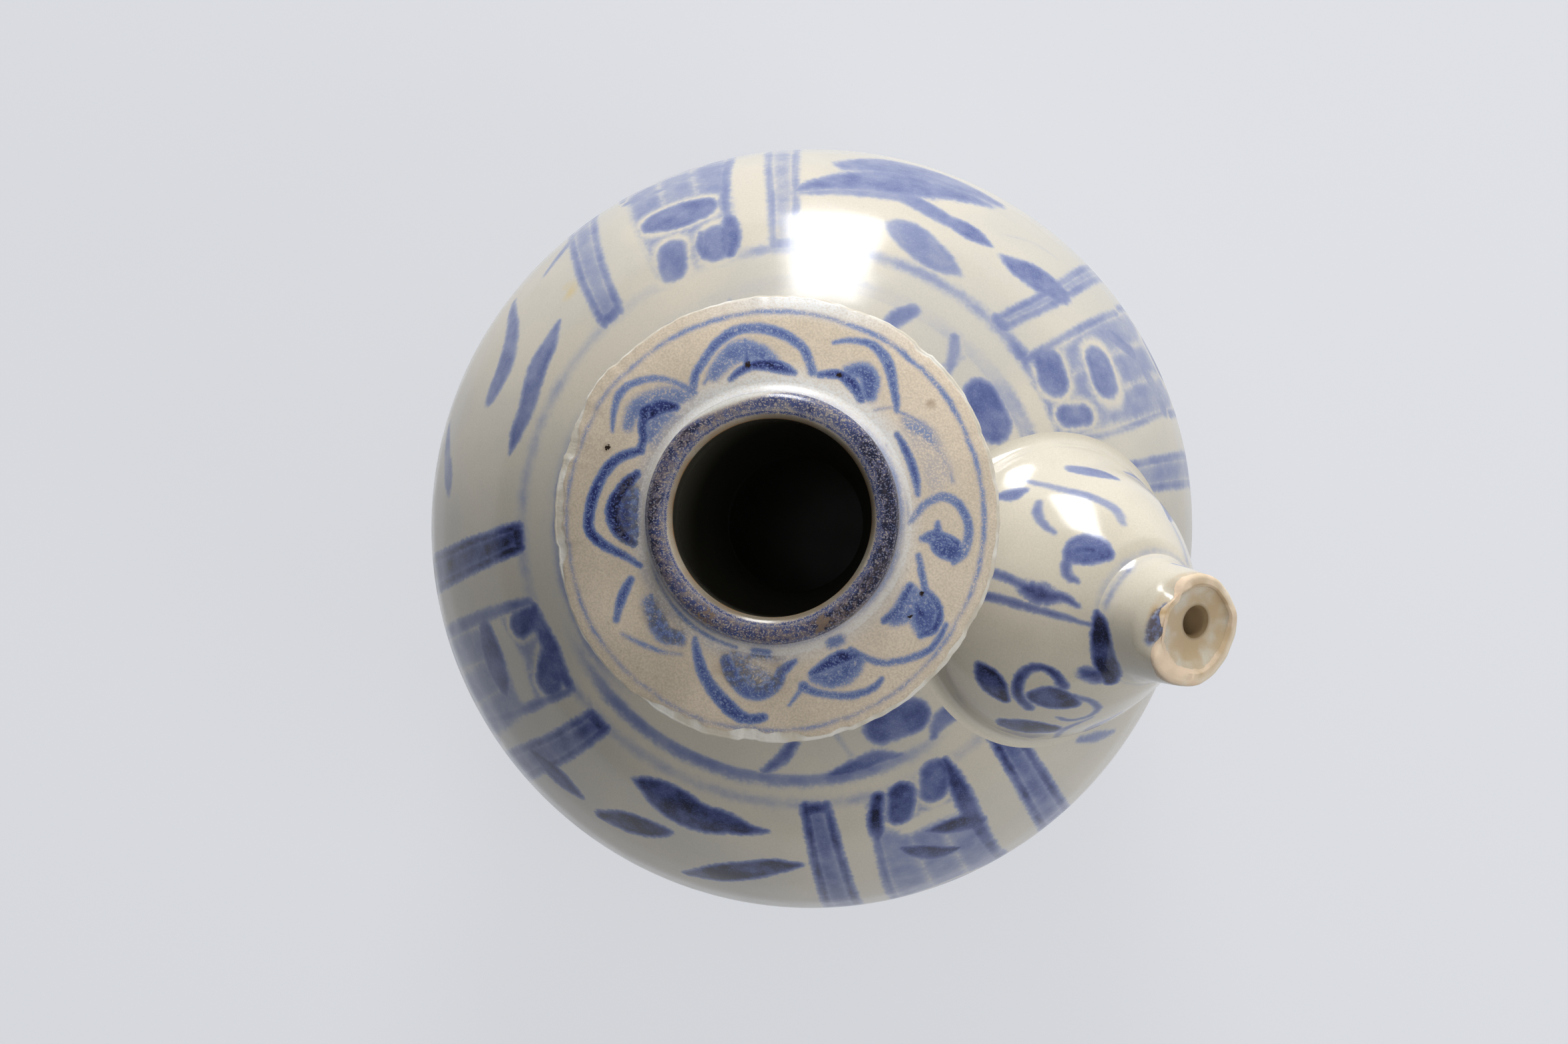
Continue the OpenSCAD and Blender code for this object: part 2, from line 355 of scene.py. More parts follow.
class Canvas:
    """Painted fields of one piece.

    For each layer it keeps the depth in millimetres by which a vertex lies inside the nearest stroke,
    negative outside, and the tone of the strokes there, weighed by nearness.
    """

    REACH = 3.0
    FADE = 0.25

    def __init__(self, skin: Skin) -> None:
        """Start with a bare surface.

        Args:
            skin: The surface that is painted.
        """
        self.skin = skin
        self.points = skin.gather(skin.points)
        self.azimuth = skin.gather(skin.azimuth)
        self.station = skin.gather(skin.station)
        self.painted = skin.gather(skin.painted)
        count = len(self.points)
        self.depth = {layer: np.full(count, -self.REACH) for layer in Layer}
        self.mass = {layer: np.full(count, 1e-9) for layer in Layer}
        self.tint = {layer: np.zeros(count) for layer in Layer}
        self.extra = {name: np.zeros(count) for name in ("bare", "pool_and_highlight", "rust", "inside")}

    def brush(self, strokes: list[Stroke], place: Place, run: float = 0.0) -> None:
        """Lay strokes on the surface.

        Args:
            strokes: The strokes, in the painter's coordinates.
            place: Turns two coordinates into points of the surface, in millimetres.
            run: How far the wet cobalt has run beyond the brush, in millimetres.
        """
        for stroke in strokes:
            path = flowing(np.array(stroke.points, dtype=float))
            middle = place(path[:, 0], path[:, 1])
            half = np.maximum(path[:, 2] + run, 0.05)
            reach = half.max() + self.REACH
            low, high = middle.min(0) - reach, middle.max(0) + reach
            close = np.all((self.points > low) & (self.points < high), axis=1)
            near = np.flatnonzero(close & self.painted)
            if near.size == 0:
                continue
            along = middle[1:] - middle[:-1]
            square = np.maximum((along ** 2).sum(1), 1e-9)
            offset = self.points[near][:, None, :] - middle[:-1]
            share = np.clip((offset * along).sum(2) / square, 0.0, 1.0)
            gap = np.linalg.norm(offset - share[..., None] * along, axis=2)
            depth = (half[:-1] + share * (half[1:] - half[:-1]) - gap).max(1)
            self.lay(stroke.layer, near, depth, stroke.tone)

    def ring(self, station: float | Array, half: float, tone: float | Array, unit: float = 1.0,
             layer: Layer = Layer.LINE) -> None:
        """Draw a line right round the surface.

        Args:
            station: Place of the line in the painter's second coordinate, or the place at each vertex.
            half: Half width of the line in millimetres.
            tone: One tone, or the tone at each vertex.
            unit: Millimetres to one unit of the second coordinate.
            layer: What the line is laid down as.
        """
        near = np.flatnonzero(self.painted)
        place = np.broadcast_to(station, self.station.shape)[near]
        hand = 0.12 * np.sin(np.radians(5.0 * self.azimuth[near] + 40.0 * place))
        depth = half - np.abs((self.station[near] - place) * unit + hand)
        self.lay(layer, near, depth, tone[near] if isinstance(tone, np.ndarray) else tone)

    def lay(self, layer: Layer, near: Array, depth: Array, tone: float | Array) -> None:
        """Add one stroke's depth and tone to the vertices that it is near.

        Args:
            layer: The layer that it belongs to.
            near: Which vertices it is near.
            depth: How far each of them lies inside its edge.
            tone: Its strength.
        """
        weight = np.exp(np.clip(depth, -self.REACH, 0.4) / self.FADE)
        self.depth[layer][near] = np.maximum(self.depth[layer][near], depth)
        self.mass[layer][near] += weight
        self.tint[layer][near] += weight * tone

    def on_runs(self, *runs: int) -> Array:
        """Return 1 at the vertices that belong to the given runs of the section, and 0 elsewhere."""
        held = 1.0 * np.isin(self.skin.tags, runs)[:, None]
        return self.skin.gather(np.broadcast_to(held, self.skin.azimuth.shape))

    def from_spot(self, place: Place, azimuth: float, station: float) -> Array:
        """Return each vertex's distance in millimetres from one spot of the surface."""
        return np.linalg.norm(self.points - place(np.array([azimuth]), np.array([station])), axis=1)

    def fields(self) -> dict[str, Array]:
        """Return every field by the name that the glaze reads it under.

        Returns:
            The vertex values under each name.
        """
        made = dict(self.extra)
        self.depth[Layer.WASH] = np.minimum(self.depth[Layer.WASH], -self.depth[Layer.RESERVE])
        for layer in (Layer.WASH, Layer.LINE, Layer.IRON):
            made[f"{layer.value}_depth"] = np.clip(self.depth[layer], -self.REACH, self.REACH)
            made[f"{layer.value}_tone"] = self.tint[layer] / self.mass[layer]
        return made


class NodeBench:
    """Short calls that lay out one material's nodes. Each returns the socket that carries its result."""

    def __init__(self, name: str) -> None:
        """Start an empty material that reads the object's own space.

        Args:
            name: The material's name.
        """
        self.material = bpy.data.materials.new(name)
        self.material.use_nodes = True
        self.tree = self.material.node_tree
        self.tree.nodes.clear()
        self.space = self.node("TexCoord", {}).outputs["Object"]

    def node(self, kind: str, sources: dict, **settings: object) -> bpy.types.Node:
        """Add a shader node, set it and feed its inputs.

        Args:
            kind: The end of the node's type.
            sources: A socket or a value for each input, by its name or number.
            **settings: What else is set on it, before its inputs.

        Returns:
            The new node.
        """
        node = self.tree.nodes.new(f"ShaderNode{kind}")
        for name, setting in settings.items():
            setattr(node, name, setting)
        for key, source in sources.items():
            if isinstance(source, Socket):
                self.tree.links.new(source, node.inputs[key])
            else:
                node.inputs[key].default_value = source
        return node

    def attribute(self, name: str) -> Socket:
        """Return one of the piece's painted fields."""
        return self.node("Attribute", {}, attribute_name=name).outputs["Fac"]

    def noise(self, size_mm: float, detail: float) -> Socket:
        """Return cloudy noise whose blots are about that many millimetres across."""
        node = self.node("TexNoise", {"Vector": self.space, "Scale": 1.0 / (size_mm * MM), "Detail": detail})
        return node.outputs["Fac"]

    def sum(self, operation: str, first: object, second: object, clamp: bool = False) -> Socket:
        """Return the result of one arithmetic step."""
        node = self.node("Math", {0: first, 1: second}, operation=operation, use_clamp=clamp)
        return node.outputs["Value"]

    def plus(self, first: object, second: object) -> Socket:
        """Return the sum of two values."""
        return self.sum("ADD", first, second)

    def times(self, first: object, second: object, clamp: bool = False) -> Socket:
        """Return the product of two values."""
        return self.sum("MULTIPLY", first, second, clamp)

    def spread(self, value: object, low: float, high: float, to_low: float = 0.0,
               to_high: float = 1.0) -> Socket:
        """Return an S-shaped change from one value to another between two bounds."""
        sources = dict(enumerate((value, low, high, to_low, to_high)))
        return self.node("MapRange", sources, interpolation_type="SMOOTHSTEP").outputs["Result"]

    def mix(self, share: object, first: object, second: object, blend: str = "MIX") -> Socket:
        """Return a blend of two colours."""
        sources = {0: share, 6: first, 7: second}
        return self.node("Mix", sources, data_type="RGBA", blend_type=blend).outputs[2]

    def ramp(self, value: object, stops: Stops) -> Socket:
        """Return the colour at a value along a row of screen colours.

        Args:
            value: The place along the row.
            stops: The row's places and colours.

        Returns:
            The colour there.
        """
        node = self.node("ValToRGB", {"Fac": value})
        elements = node.color_ramp.elements
        while len(elements) < len(stops):
            elements.new(1.0)
        for element, (position, colour) in zip(elements, stops):
            element.position = position
            element.color = srgb(colour)
        return node.outputs["Color"]

    def surface(self, shader: Socket) -> bpy.types.Material:
        """Finish the material with a shader and return it."""
        self.node("OutputMaterial", {"Surface": shader})
        return self.material


COBALT: Stops = (
    (0.0, (198, 195, 193)),
    (0.2, (168, 172, 187)),
    (0.4, (133, 142, 176)),
    (0.6, (100, 111, 157)),
    (0.8, (72, 81, 128)),
    (1.0, (38, 41, 64)),
)
DEEP: Stops = (
    (0.0, (188, 182, 182)),
    (0.12, (172, 168, 178)),
    (0.28, (136, 150, 184)),
    (0.52, (92, 108, 160)),
    (0.78, (54, 64, 122)),
    (1.0, (28, 30, 58)),
)
SPECKLED: Stops = (
    (0.0, (170, 160, 150)),
    (0.3, (162, 152, 148)),
    (0.48, (110, 114, 136)),
    (0.72, (74, 83, 126)),
    (1.0, (40, 42, 60)),
)


@dataclass(frozen=True)
class PaintedGlaze:
    """Clear glaze over a cobalt painting on a clay ground.

    Ground and its shade mix in slow clouds. Grain is the strength of the sandy specks in the glaze, blot is
    how far they break the cobalt up, speck is their size and bleed is the softness of a stroke's edge, both
    in millimetres. Gloss is the roughness of the glaze, dullness what bare clay adds to it, and relief the
    height of the surface's unevenness in millimetres.
    """

    name: str
    ground: Colour
    shade: Colour
    grain: float
    blot: float
    bleed: float
    gloss: float
    speck: float = 0.3
    cobalt: Stops = COBALT
    biscuit: Colour = (206, 198, 182)
    chalk: Colour = (228, 224, 214)
    stain: Colour = (176, 132, 84)
    # Colour of thick glaze in hollows, also laid on as painted highlight
    pool_and_highlight_colour: Colour = (208, 210, 208)
    iron: Colour = (44, 34, 28)
    rusted: Colour = (72, 60, 54)
    # Colour of inner walls and bores, where the inside field is set: painted shade for the dark interior
    hollow: Colour = (78, 76, 66)
    sand: Colour = (126, 106, 84)
    dullness: float = 0.55
    relief: float = 0.12
    ior: float = 1.5

    def material(self) -> bpy.types.Material:
        """Return the glaze's material, which reads the painted fields of the piece.

        Returns:
            The finished material.
        """
        bench = NodeBench(self.name)
        fine = bench.noise(self.speck, 1.0)
        small = bench.noise(1.0, 2.0)
        middle = bench.noise(5.0, 2.0)
        slow = bench.noise(26.0, 3.0)
        rust = bench.attribute("rust")
        ground = self.clay(bench, fine, small, middle, slow, rust)
        density = self.cobalt_density(bench, fine, small, middle)
        rusty = bench.times(rust, bench.spread(small, 0.38, 0.6))
        cobalt = bench.mix(rusty, bench.ramp(density, self.cobalt), srgb(self.rusted))
        colour = bench.mix(bench.spread(density, 0.02, 0.3), ground, cobalt)
        iron = bench.spread(bench.plus(bench.attribute("iron_depth"), fine), 0.35, 0.65)
        colour = bench.mix(iron, colour, srgb(self.iron))
        # Inner walls and bores are darkened: painted shade
        colour = bench.mix(bench.attribute("inside"), colour, srgb(self.hollow))
        bare = bench.spread(bench.plus(bench.attribute("bare"), bench.times(small, 0.7)), 0.8, 0.95)
        body = bench.mix(bench.spread(middle, 0.4, 0.62), srgb(self.biscuit), srgb(self.chalk))
        body = bench.mix(bench.times(rust, bench.spread(middle, 0.42, 0.58)), body, srgb(self.stain))
        dull = bench.spread(bare, 0.0, 1.0, 0.0, self.dullness)
        gloss = bench.spread(middle, 0.3, 0.7, self.gloss * 0.8, self.gloss * 1.2)
        height = bench.plus(slow, bench.times(middle, 0.35))
        height = bench.plus(height, bench.times(small, self.grain * 0.5))
        height = bench.plus(height, bench.times(bench.times(bare, small), 1.5))
        bump = bench.node("Bump", {"Strength": 0.5, "Distance": self.relief * MM, "Height": height})
        shader = bench.node("BsdfPrincipled", {
            "Base Color": bench.mix(bare, colour, body),
            "Roughness": bench.plus(dull, gloss),
            "Normal": bump.outputs["Normal"],
            "IOR": self.ior,
        })
        return bench.surface(shader.outputs["BSDF"])

    def clay(self, bench: NodeBench, fine: object, small: object, middle: object, slow: object,
             rust: object) -> Socket:
        """Return the colour of the unpainted glaze: clouds, sandy specks, rust stains, and thick glaze in
        hollows mixed with painted highlights.

        Args:
            bench: The bench that the material is made on.
            fine: The finest noise.
            small: The small noise.
            middle: The middling noise.
            slow: The slowest noise.
            rust: How rusty a place is.

        Returns:
            The colour.
        """
        ground = bench.mix(bench.spread(slow, 0.35, 0.65), srgb(self.ground), srgb(self.shade))
        light = bench.spread(fine, 0.25, 0.75, 1.0 - 0.34 * self.grain, 1.0 + 0.18 * self.grain)
        ground = bench.mix(1.0, ground, light, "MULTIPLY")
        specks = bench.times(bench.spread(small, 0.66, 0.74), 0.45 * self.grain)
        ground = bench.mix(specks, ground, srgb(self.sand))
        ground = bench.mix(bench.times(rust, bench.spread(middle, 0.3, 0.6)), ground, srgb(self.stain))
        # Thick pale glaze in hollows and painted highlights come from one field
        pool_and_highlight = bench.times(bench.attribute("pool_and_highlight"), bench.spread(fine, 0.3, 0.62, 0.55, 1.05))
        return bench.mix(pool_and_highlight, ground, srgb(self.pool_and_highlight_colour))

    def cobalt_density(self, bench: NodeBench, fine: object, small: object,
                       middle: object) -> Socket:
        """Return how much cobalt lies at a point: firm lines and soft washes with grainy, uneven edges.

        Args:
            bench: The bench that the material is made on.
            fine: The finest noise.
            small: The small noise.
            middle: The middling noise.

        Returns:
            The density, 0 where there is none.
        """
        grit = 0.4 * self.blot + 0.05
        waver = 0.22 * self.bleed
        reach = 0.3 + 1.6 * self.bleed
        shiver = bench.spread(fine, 0.2, 0.8, -grit, grit)
        shiver = bench.plus(shiver, bench.spread(small, 0.2, 0.8, -waver, waver))
        firm_edge = bench.plus(bench.attribute("line_depth"), shiver)
        firm = bench.spread(firm_edge, -self.bleed, self.bleed * 1.2)
        firm = bench.times(firm, bench.attribute("line_tone"))
        soft_edge = bench.plus(bench.attribute("wash_depth"), bench.times(shiver, 1.8))
        soft = bench.times(bench.spread(soft_edge, -reach, reach), bench.attribute("wash_tone"))
        density = bench.sum("MAXIMUM", firm, soft)
        density = bench.times(density, bench.spread(middle, 0.25, 0.75, 0.78, 1.2))
        density = bench.times(density, bench.spread(small, 0.46, 0.68, 1.0, 1.0 - 0.6 * self.blot))
        density = bench.times(density, bench.spread(bench.attribute("pool_and_highlight"), 0.0, 1.0, 1.0, 0.62))
        return bench.times(density, bench.spread(fine, 0.5, 0.64, 1.0, 1.0 - self.blot), clamp=True)


def make_piece(node: str, canvas: Canvas, finish: bpy.types.Material) -> bpy.types.Object:
    """Make one fired piece in place of a frame node.

    Args:
        node: The node that the piece stands for.
        canvas: The piece's grid with its painted fields.
        finish: The material.

    Returns:
        The piece, riding on the frame.
    """
    skin = canvas.skin
    mesh = bpy.data.meshes.new(f"{node}_fired")
    vertices = thrown(skin.gather(skin.points)) * MM
    mesh.from_pydata(vertices.tolist(), [], skin.faces())
    for name, values in canvas.fields().items():
        layer = mesh.attributes.new(name, "FLOAT", "POINT")
        layer.data.foreach_set("value", np.ascontiguousarray(values, dtype=np.float32))
    mesh.shade_smooth()
    mesh.set_sharp_from_angle(angle=SHARP_ANGLE)
    mesh.materials.append(finish)
    piece = bpy.data.objects.new(f"{node}_fired", mesh)
    bpy.context.scene.collection.objects.link(piece)
    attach(piece, "root")
    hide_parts(node)
    LOG.info("%s: %d vertices, %d faces", piece.name, len(mesh.vertices), len(mesh.polygons))
    return piece


def span(node: str) -> tuple[Array, Array]:
    """Return a node's lowest and highest corners in millimetres, to a tenth."""
    low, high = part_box(node)
    return np.round(np.array(low) / MM, 1), np.round(np.array(high) / MM, 1)


def record_mount(name: str) -> dict:
    """Return one of the record's mounts by its name."""
    return next(mount for mount in frame["record"]["mounts"] if mount["name"] == name)


NECK_BORE_R = 12.5
# Azimuth of each narrow panel's middle and the tone of its wash
NARROW_PANELS = ((125.8, 0.38), (41.2, 0.34), (-53.0, 0.46), (-139.4, 0.4))
# Each double stripe: azimuth at the ring, half way and at the belly, the tones of its fill and lines, and
# half the distance between its lines in degrees
STRIPES = (
    (147.2, 145.0, 142.6, 0.36, 0.48, 2.1), (108.3, 108.3, 108.8, 0.26, 0.36, 2.1),
    (60.2, 57.8, 57.0, 0.38, 0.46, 1.1), (23.4, 23.2, 23.6, 0.36, 0.46, 2.1),
    (-30.4, -32.4, -34.2, 0.6, 0.86, 2.1), (-71.7, -70.8, -70.0, 0.6, 0.88, 2.1),
    (-120.8, -122.6, -125.0, 0.7, 0.78, 2.1), (-162.6, -160.2, -158.2, 0.94, 1.0, 2.1),
)
WIDE_PANELS = (85.0, -3.0, -96.5, 173.0)
# Angle from the belly, half width and tone of the lines round the neck's joint and the foot
BODY_RINGS = ((68.6, 0.6, 0.5), (66.6, 0.4, 0.4), (-44.5, 0.7, 0.55), (-47.5, 0.6, 0.5))

SHOULDER_STROKES = [
    # Narrow panel at 126 degrees
    line(0.44, (131.6, 44, 3), (130.2, 39.8, 3.2)),
    line(0.4, (122.2, 43.4, 2.9), (121.4, 39.8, 2.9)),
    line(0.58, (124.6, 43.8, 0.8), (124.6, 41, 1.2), (124, 38.4, 0.8)),
    line(0.54, (130.8, 30.2, 3.4), (127, 31, 4.3), (123, 31.4, 3.6)),
    reserve((131.6, 44.4, 3.8), (130.2, 39.4, 4)),
    reserve((122.2, 44, 3.7), (121.2, 39.4, 3.7)),
    reserve((131, 30.2, 4.3), (127, 31, 5.1), (122.6, 31.4, 4.3)),
    line(0.38, (134, 15.2, 1.4), (131, 17, 2), (127.6, 18, 1)),
    line(0.32, (124.4, 15, 1.6), (118, 15, 1.8)),
    line(0.46, (117.2, 12, 1.3), (118.6, 33.2, 1.2), (117.8, 39, 1.3)),
    line(0.66, (118.4, 37, 1.4), (118.6, 41.6, 2.1), (119.4, 44.8, 1.3)),
    line(0.2, (134.4, 21.8, 0.7), (134.6, 33.2, 0.7), (135, 44, 0.7)),
    # Narrow panel at 41 degrees
    line(0.52, (48.2, 42, 3.4), (44.8, 43.2, 3.6)),
    line(0.46, (37.2, 44, 2.4), (36.2, 40.4, 2.3)),
    line(0.48, (44, 31.2, 3.4), (40.4, 32.2, 3.6)),
    reserve((48.4, 42, 4.2), (44.2, 43.2, 4.3)),
    reserve((37.2, 44.4, 3), (36.2, 40, 3)),
    reserve((44.6, 31, 4.2), (39.8, 32.2, 4.4)),
    line(0.24, (36.2, 35, 0.6), (35.4, 29, 0.9), (38.6, 24.6, 0.8)),
    line(0.44, (46.8, 23, 2.2), (43, 19, 2.2)),
    line(0.36, (39.6, 16.8, 2.4), (33.6, 15, 2.4)),
    line(0.32, (33.2, 46.4, 0.9), (31.6, 37.2, 0.9), (33, 13.5, 0.9)),
    line(0.42, (51, 46, 1), (50.4, 32, 1), (49.6, 14, 1)),
    # Narrow panel at -53 degrees, with leaves for a jewel
    line(0.96, (-58.9, 44.8, 1.3), (-60.6, 40.5, 1.5), (-61.2, 36.4, 1.4)),
    line(0.76, (-54.2, 43.8, 2.9), (-56, 39.6, 2.6)),
    line(0.7, (-46.2, 45.2, 2.9), (-48.2, 41.8, 3)),
    reserve((-54, 44, 3.4), (-56.4, 38.6, 3.2)),
    reserve((-46, 45.4, 3.5), (-48.4, 40.8, 3.5)),
    reserve((-56, 35.6, 1.6), (-51, 36.6, 2.2), (-47, 36, 2.2)),
    line(0.8, (-43.4, 46, 1), (-43.6, 42.5, 1.6), (-44.2, 35.8, 2), (-44.8, 26.5, 1.6), (-45, 5, 1)),
    line(0.9, (-53, 33.4, 0.4), (-50, 32.4, 1.7), (-47, 31, 2.6), (-44.6, 29, 2)),
    line(0.9, (-58.2, 31.5, 0.6), (-55, 28, 2.3), (-52, 25.2, 2.1), (-49, 24.2, 0.5)),
    line(0.58, (-61.4, 36, 1), (-62, 20, 1), (-61.8, 5, 1)),
    # Narrow panel at -139 degrees
    line(0.7, (-145.9, 44.2, 2.6), (-145.4, 41.2, 2.7)),
    line(0.74, (-136.6, 44.6, 3), (-133.2, 41.6, 3.3)),
    line(0.7, (-147.6, 45.6, 1.2), (-139, 45.6, 2.2), (-130.6, 45, 1.4)),
    line(0.74, (-149, 32, 1), (-145, 31.2, 3), (-140, 30.2, 3.5), (-136, 29, 1.4)),
    reserve((-145.9, 44.6, 3.4), (-145.4, 40.6, 3.5)),
    reserve((-137, 44.8, 3.6), (-132.8, 41.4, 4)),
    reserve((-149.4, 34.6, 1.4), (-145.2, 35.6, 2.2), (-140, 36.2, 2.6), (-134, 34.6, 2.6)),
    line(0.54, (-149.4, 45, 0.9), (-149.3, 35, 1.3), (-148.8, 19.2, 1.4), (-148.2, 2, 1.1)),
    line(0.52, (-129.2, 45.2, 0.9), (-131.2, 35, 1.1), (-133.8, 14, 1.2), (-134.2, 2, 1)),
    # Wide panel at the top of the picture
    line(0.38, (89.2, 37.4, 0.6), (85.6, 38, 3.5), (80.8, 40.2, 4), (76, 41.4, 2.7), (72, 41.8, 0.5)),
    line(0.42, (89, 27.8, 2.6), (84, 29.8, 2.4), (80, 30.8, 2)),
    line(0.54, (80, 30.6, 1.6), (75.4, 30.9, 2.4), (71, 31.2, 0.5)),
    line(0.38, (107, 32, 0.8), (100, 31.2, 1.3), (92, 29.8, 1.7), (87, 28.6, 1.5)),
    wash(0.5, (106.8, 31.4, 0.8), (101.2, 28.4, 2.6), (95.2, 26, 4.2), (89.2, 23.5, 5.4),
         (82.4, 20, 4.2), (75.6, 17.5, 1.5)),
    wash(0.46, (98, 19.5, 3), (90.5, 16, 5), (82, 14.5, 4.2), (75, 14, 2)),
    line(0.54, (68.8, 32, 0.5), (65, 31.6, 2.6), (61.5, 30.2, 3.6), (57.2, 28.5, 2.8)),
    line(0.2, (71.2, 26.5, 0.4), (66.4, 21.5, 0.55), (61.6, 19.5, 0.4)),
    # Wide panel at the foot of the picture
    line(0.9, (-108.4, 39.8, 0.4), (-104.4, 40.2, 2.8), (-100, 39.6, 4.4), (-94.5, 38.6, 4),
         (-89, 39.3, 2.9), (-85, 38.8, 1.6), (-81.2, 39, 0.3)),
    line(1, (-110, 25, 1.4), (-105.5, 28.2, 3.2), (-101, 30.6, 2.2), (-98.4, 32, 0.6)),
    line(1, (-94, 18.8, 0.8), (-90, 22.4, 2.8), (-86.4, 25.4, 3.2), (-80.4, 29.2, 2.6), (-75.6, 30.4, 0.8)),
    line(0.86, (-126.6, 24.4, 0.6), (-123, 25.4, 2.2), (-119, 25.8, 2.6), (-114.8, 26, 0.8)),
    # Wide panel at the left of the picture
    line(0.52, (154.8, 36.2, 0.4), (159.2, 38, 2.1), (164, 38.8, 2.7), (170.8, 41, 2.4),
         (176.8, 41, 1.8), (181.2, 40.8, 0.4)),
    line(0.5, (157.6, 16, 0.8), (161.2, 25, 2), (166.4, 29.8, 2.8), (172, 30.2, 1.9), (174, 29.8, 0.6)),
    line(0.4, (179.2, 14, 1), (186.4, 20.8, 2.3), (189.6, 22.8, 1)),
    line(0.38, (151.2, 20.2, 0.6), (146.4, 16.5, 1.3), (142, 9.8, 1)),
    # Wide panel under the spout
    line(0.45, (-22.8, 27.4, 0.8), (-20.5, 22.5, 1.3), (-18.6, 17.8, 0.6)),
    line(0.3, (-14, 24, 0.6), (-10, 20, 1.2), (-8, 15, 0.5)),
    line(0.4, (16, 24, 0.6), (12, 20, 1.4), (9, 14, 0.6)),
    # Marks within the shoulder's ring
    line(0.42, (81, 58, 1.2), (79, 55, 1.9), (76.5, 52.6, 1.5)),
    line(0.38, (60, 58, 0.9), (62.5, 55, 1.5), (65, 52.8, 1.2)),
    line(0.64, (-68.8, 50.9, 0.6), (-61.2, 51.8, 1.8), (-56, 52.2, 1.7), (-50.4, 50.9, 0.4)),
    line(0.64, (-76, 57.2, 1.1), (-79, 54.2, 1.3), (-83, 51.6, 0.8)),
    line(0.54, (-43, 51, 0.6), (-39, 52.8, 1.8), (-34, 52.6, 2), (-31, 51, 1)),
]


def panel_strokes() -> list[Stroke]:
    """Return the frames that divide the body: washed narrow panels, double stripes and sprays below.

    Returns:
        Strokes in azimuth and angle from the belly.
    """
    strokes = []
    for c, tone in NARROW_PANELS:
        for at in (c - 5.6, c, c + 5.6):
            strokes.append(wash(tone, (at, 43.6, 2.8), (at, 26, 3.4), (at, 8, 3.4)))
        for side in (-1.0, 1.0):
            edge, foot = c + 8.8 * side, c + 8.4 * side
            strokes.append(line(0.55, (edge, 12, 0.9), (edge, -14, 0.9), (foot, -43, 0.8)))
        for jewel in (4.0, -13.0, -30.0):
            bar = jewel - 8.5
            strokes.append(line(0.6, (c - 1.6, jewel, 2.8), (c + 1.6, jewel, 2.8)))
            strokes.append(reserve((c - 2.0, jewel, 4.0), (c + 2.0, jewel, 4.0)))
            strokes.append(line(0.45, (c - 8.6, bar, 0.7), (c, bar + 0.2, 0.7), (c + 8.6, bar, 0.7)))
    for ring, half_way, belly, fill, edge, gap in STRIPES:
        low, narrow, full = belly + 0.6 * (belly - half_way), 0.9 * gap, 1.05 * gap
        strokes.append(wash(fill, (ring, 44.6, narrow), (half_way, 34, full), (belly, 18, full),
                            (low, -10, full), (low, -43, narrow)))
        strokes.append(line(edge + 0.08, (ring - 0.8, 44.6, 1.6), (ring + 0.8, 44.6, 1.6)))
        for side in (-gap, gap):
            strokes.append(line(edge, (ring + side, 45.2, 1.0), (half_way + side, 34, 1.0),
                                (belly + side, 18, 1.0), (low + side, -10, 1.0), (low + side, -43.5, 0.8)))
    for c in WIDE_PANELS:
        strokes += spray(c, -14.0)
    return strokes


def spray(c: float, z: float) -> list[Stroke]:
    """Return a flowering spray: a bent stem, paired leaves, a round flower and grass at its foot.

    Args:
        c: Azimuth of its middle.
        z: Angle from the belly of its middle.

    Returns:
        Its strokes.
    """
    head, top = c - 0.5, z + 11
    strokes = [line(0.6, (c - 6, z - 22, 0.9), (c - 2, z - 10, 0.8), (c + 1, z, 0.7), (c - 1, z + 9, 0.6)),
               wash(0.6, (c - 2.2, top, 3.0), (c + 1.2, top, 3.0))]
    for lift, reach in ((-14.0, 9.0), (-6.0, -9.0), (1.0, 8.0)):
        foot, up = c - 2 + 0.15 * lift, z + lift
        strokes.append(line(0.75, (foot, up, 0.5), (foot + 0.5 * reach, up + 2.5, 1.8),
                            (foot + reach, up + 3.0, 0.4)))
    for turn in np.radians(np.arange(0, 360, 72)):
        x, y = math.cos(turn), math.sin(turn)
        strokes.append(line(0.85, (head + 2.6 * x, top + 2.8 * y, 0.6),
                            (head + 4.6 * x, top + 5.0 * y, 0.9)))
    for blade in (-11.0, -7.0, 3.0, 8.0):
        strokes.append(line(0.6, (c + blade, z - 23, 0.8), (c + 1.2 * blade, z - 16, 0.4)))
    return strokes


def shoulder_petals() -> list[Stroke]:
    """Return the band of petals between the neck and the shoulder's ring: four dark ones with outlines.

    Returns:
        Strokes in azimuth and angle from the belly.
    """
    strokes = []
    for c, tone in ((46.0, 0.58), (136.0, 0.66), (-134.0, 0.66), (-48.0, 0.66)):
        strokes.append(line(tone, (c + 4.0, 56.4, 3.6), (c - 4.0, 57.0, 3.8)))
        for side in (-1.0, 1.0):
            strokes.append(line(0.3, (c + 13 * side, 66, 0.5), (c + 17 * side, 60, 0.6),
                                (c + 14 * side, 54, 0.6)))
    return strokes


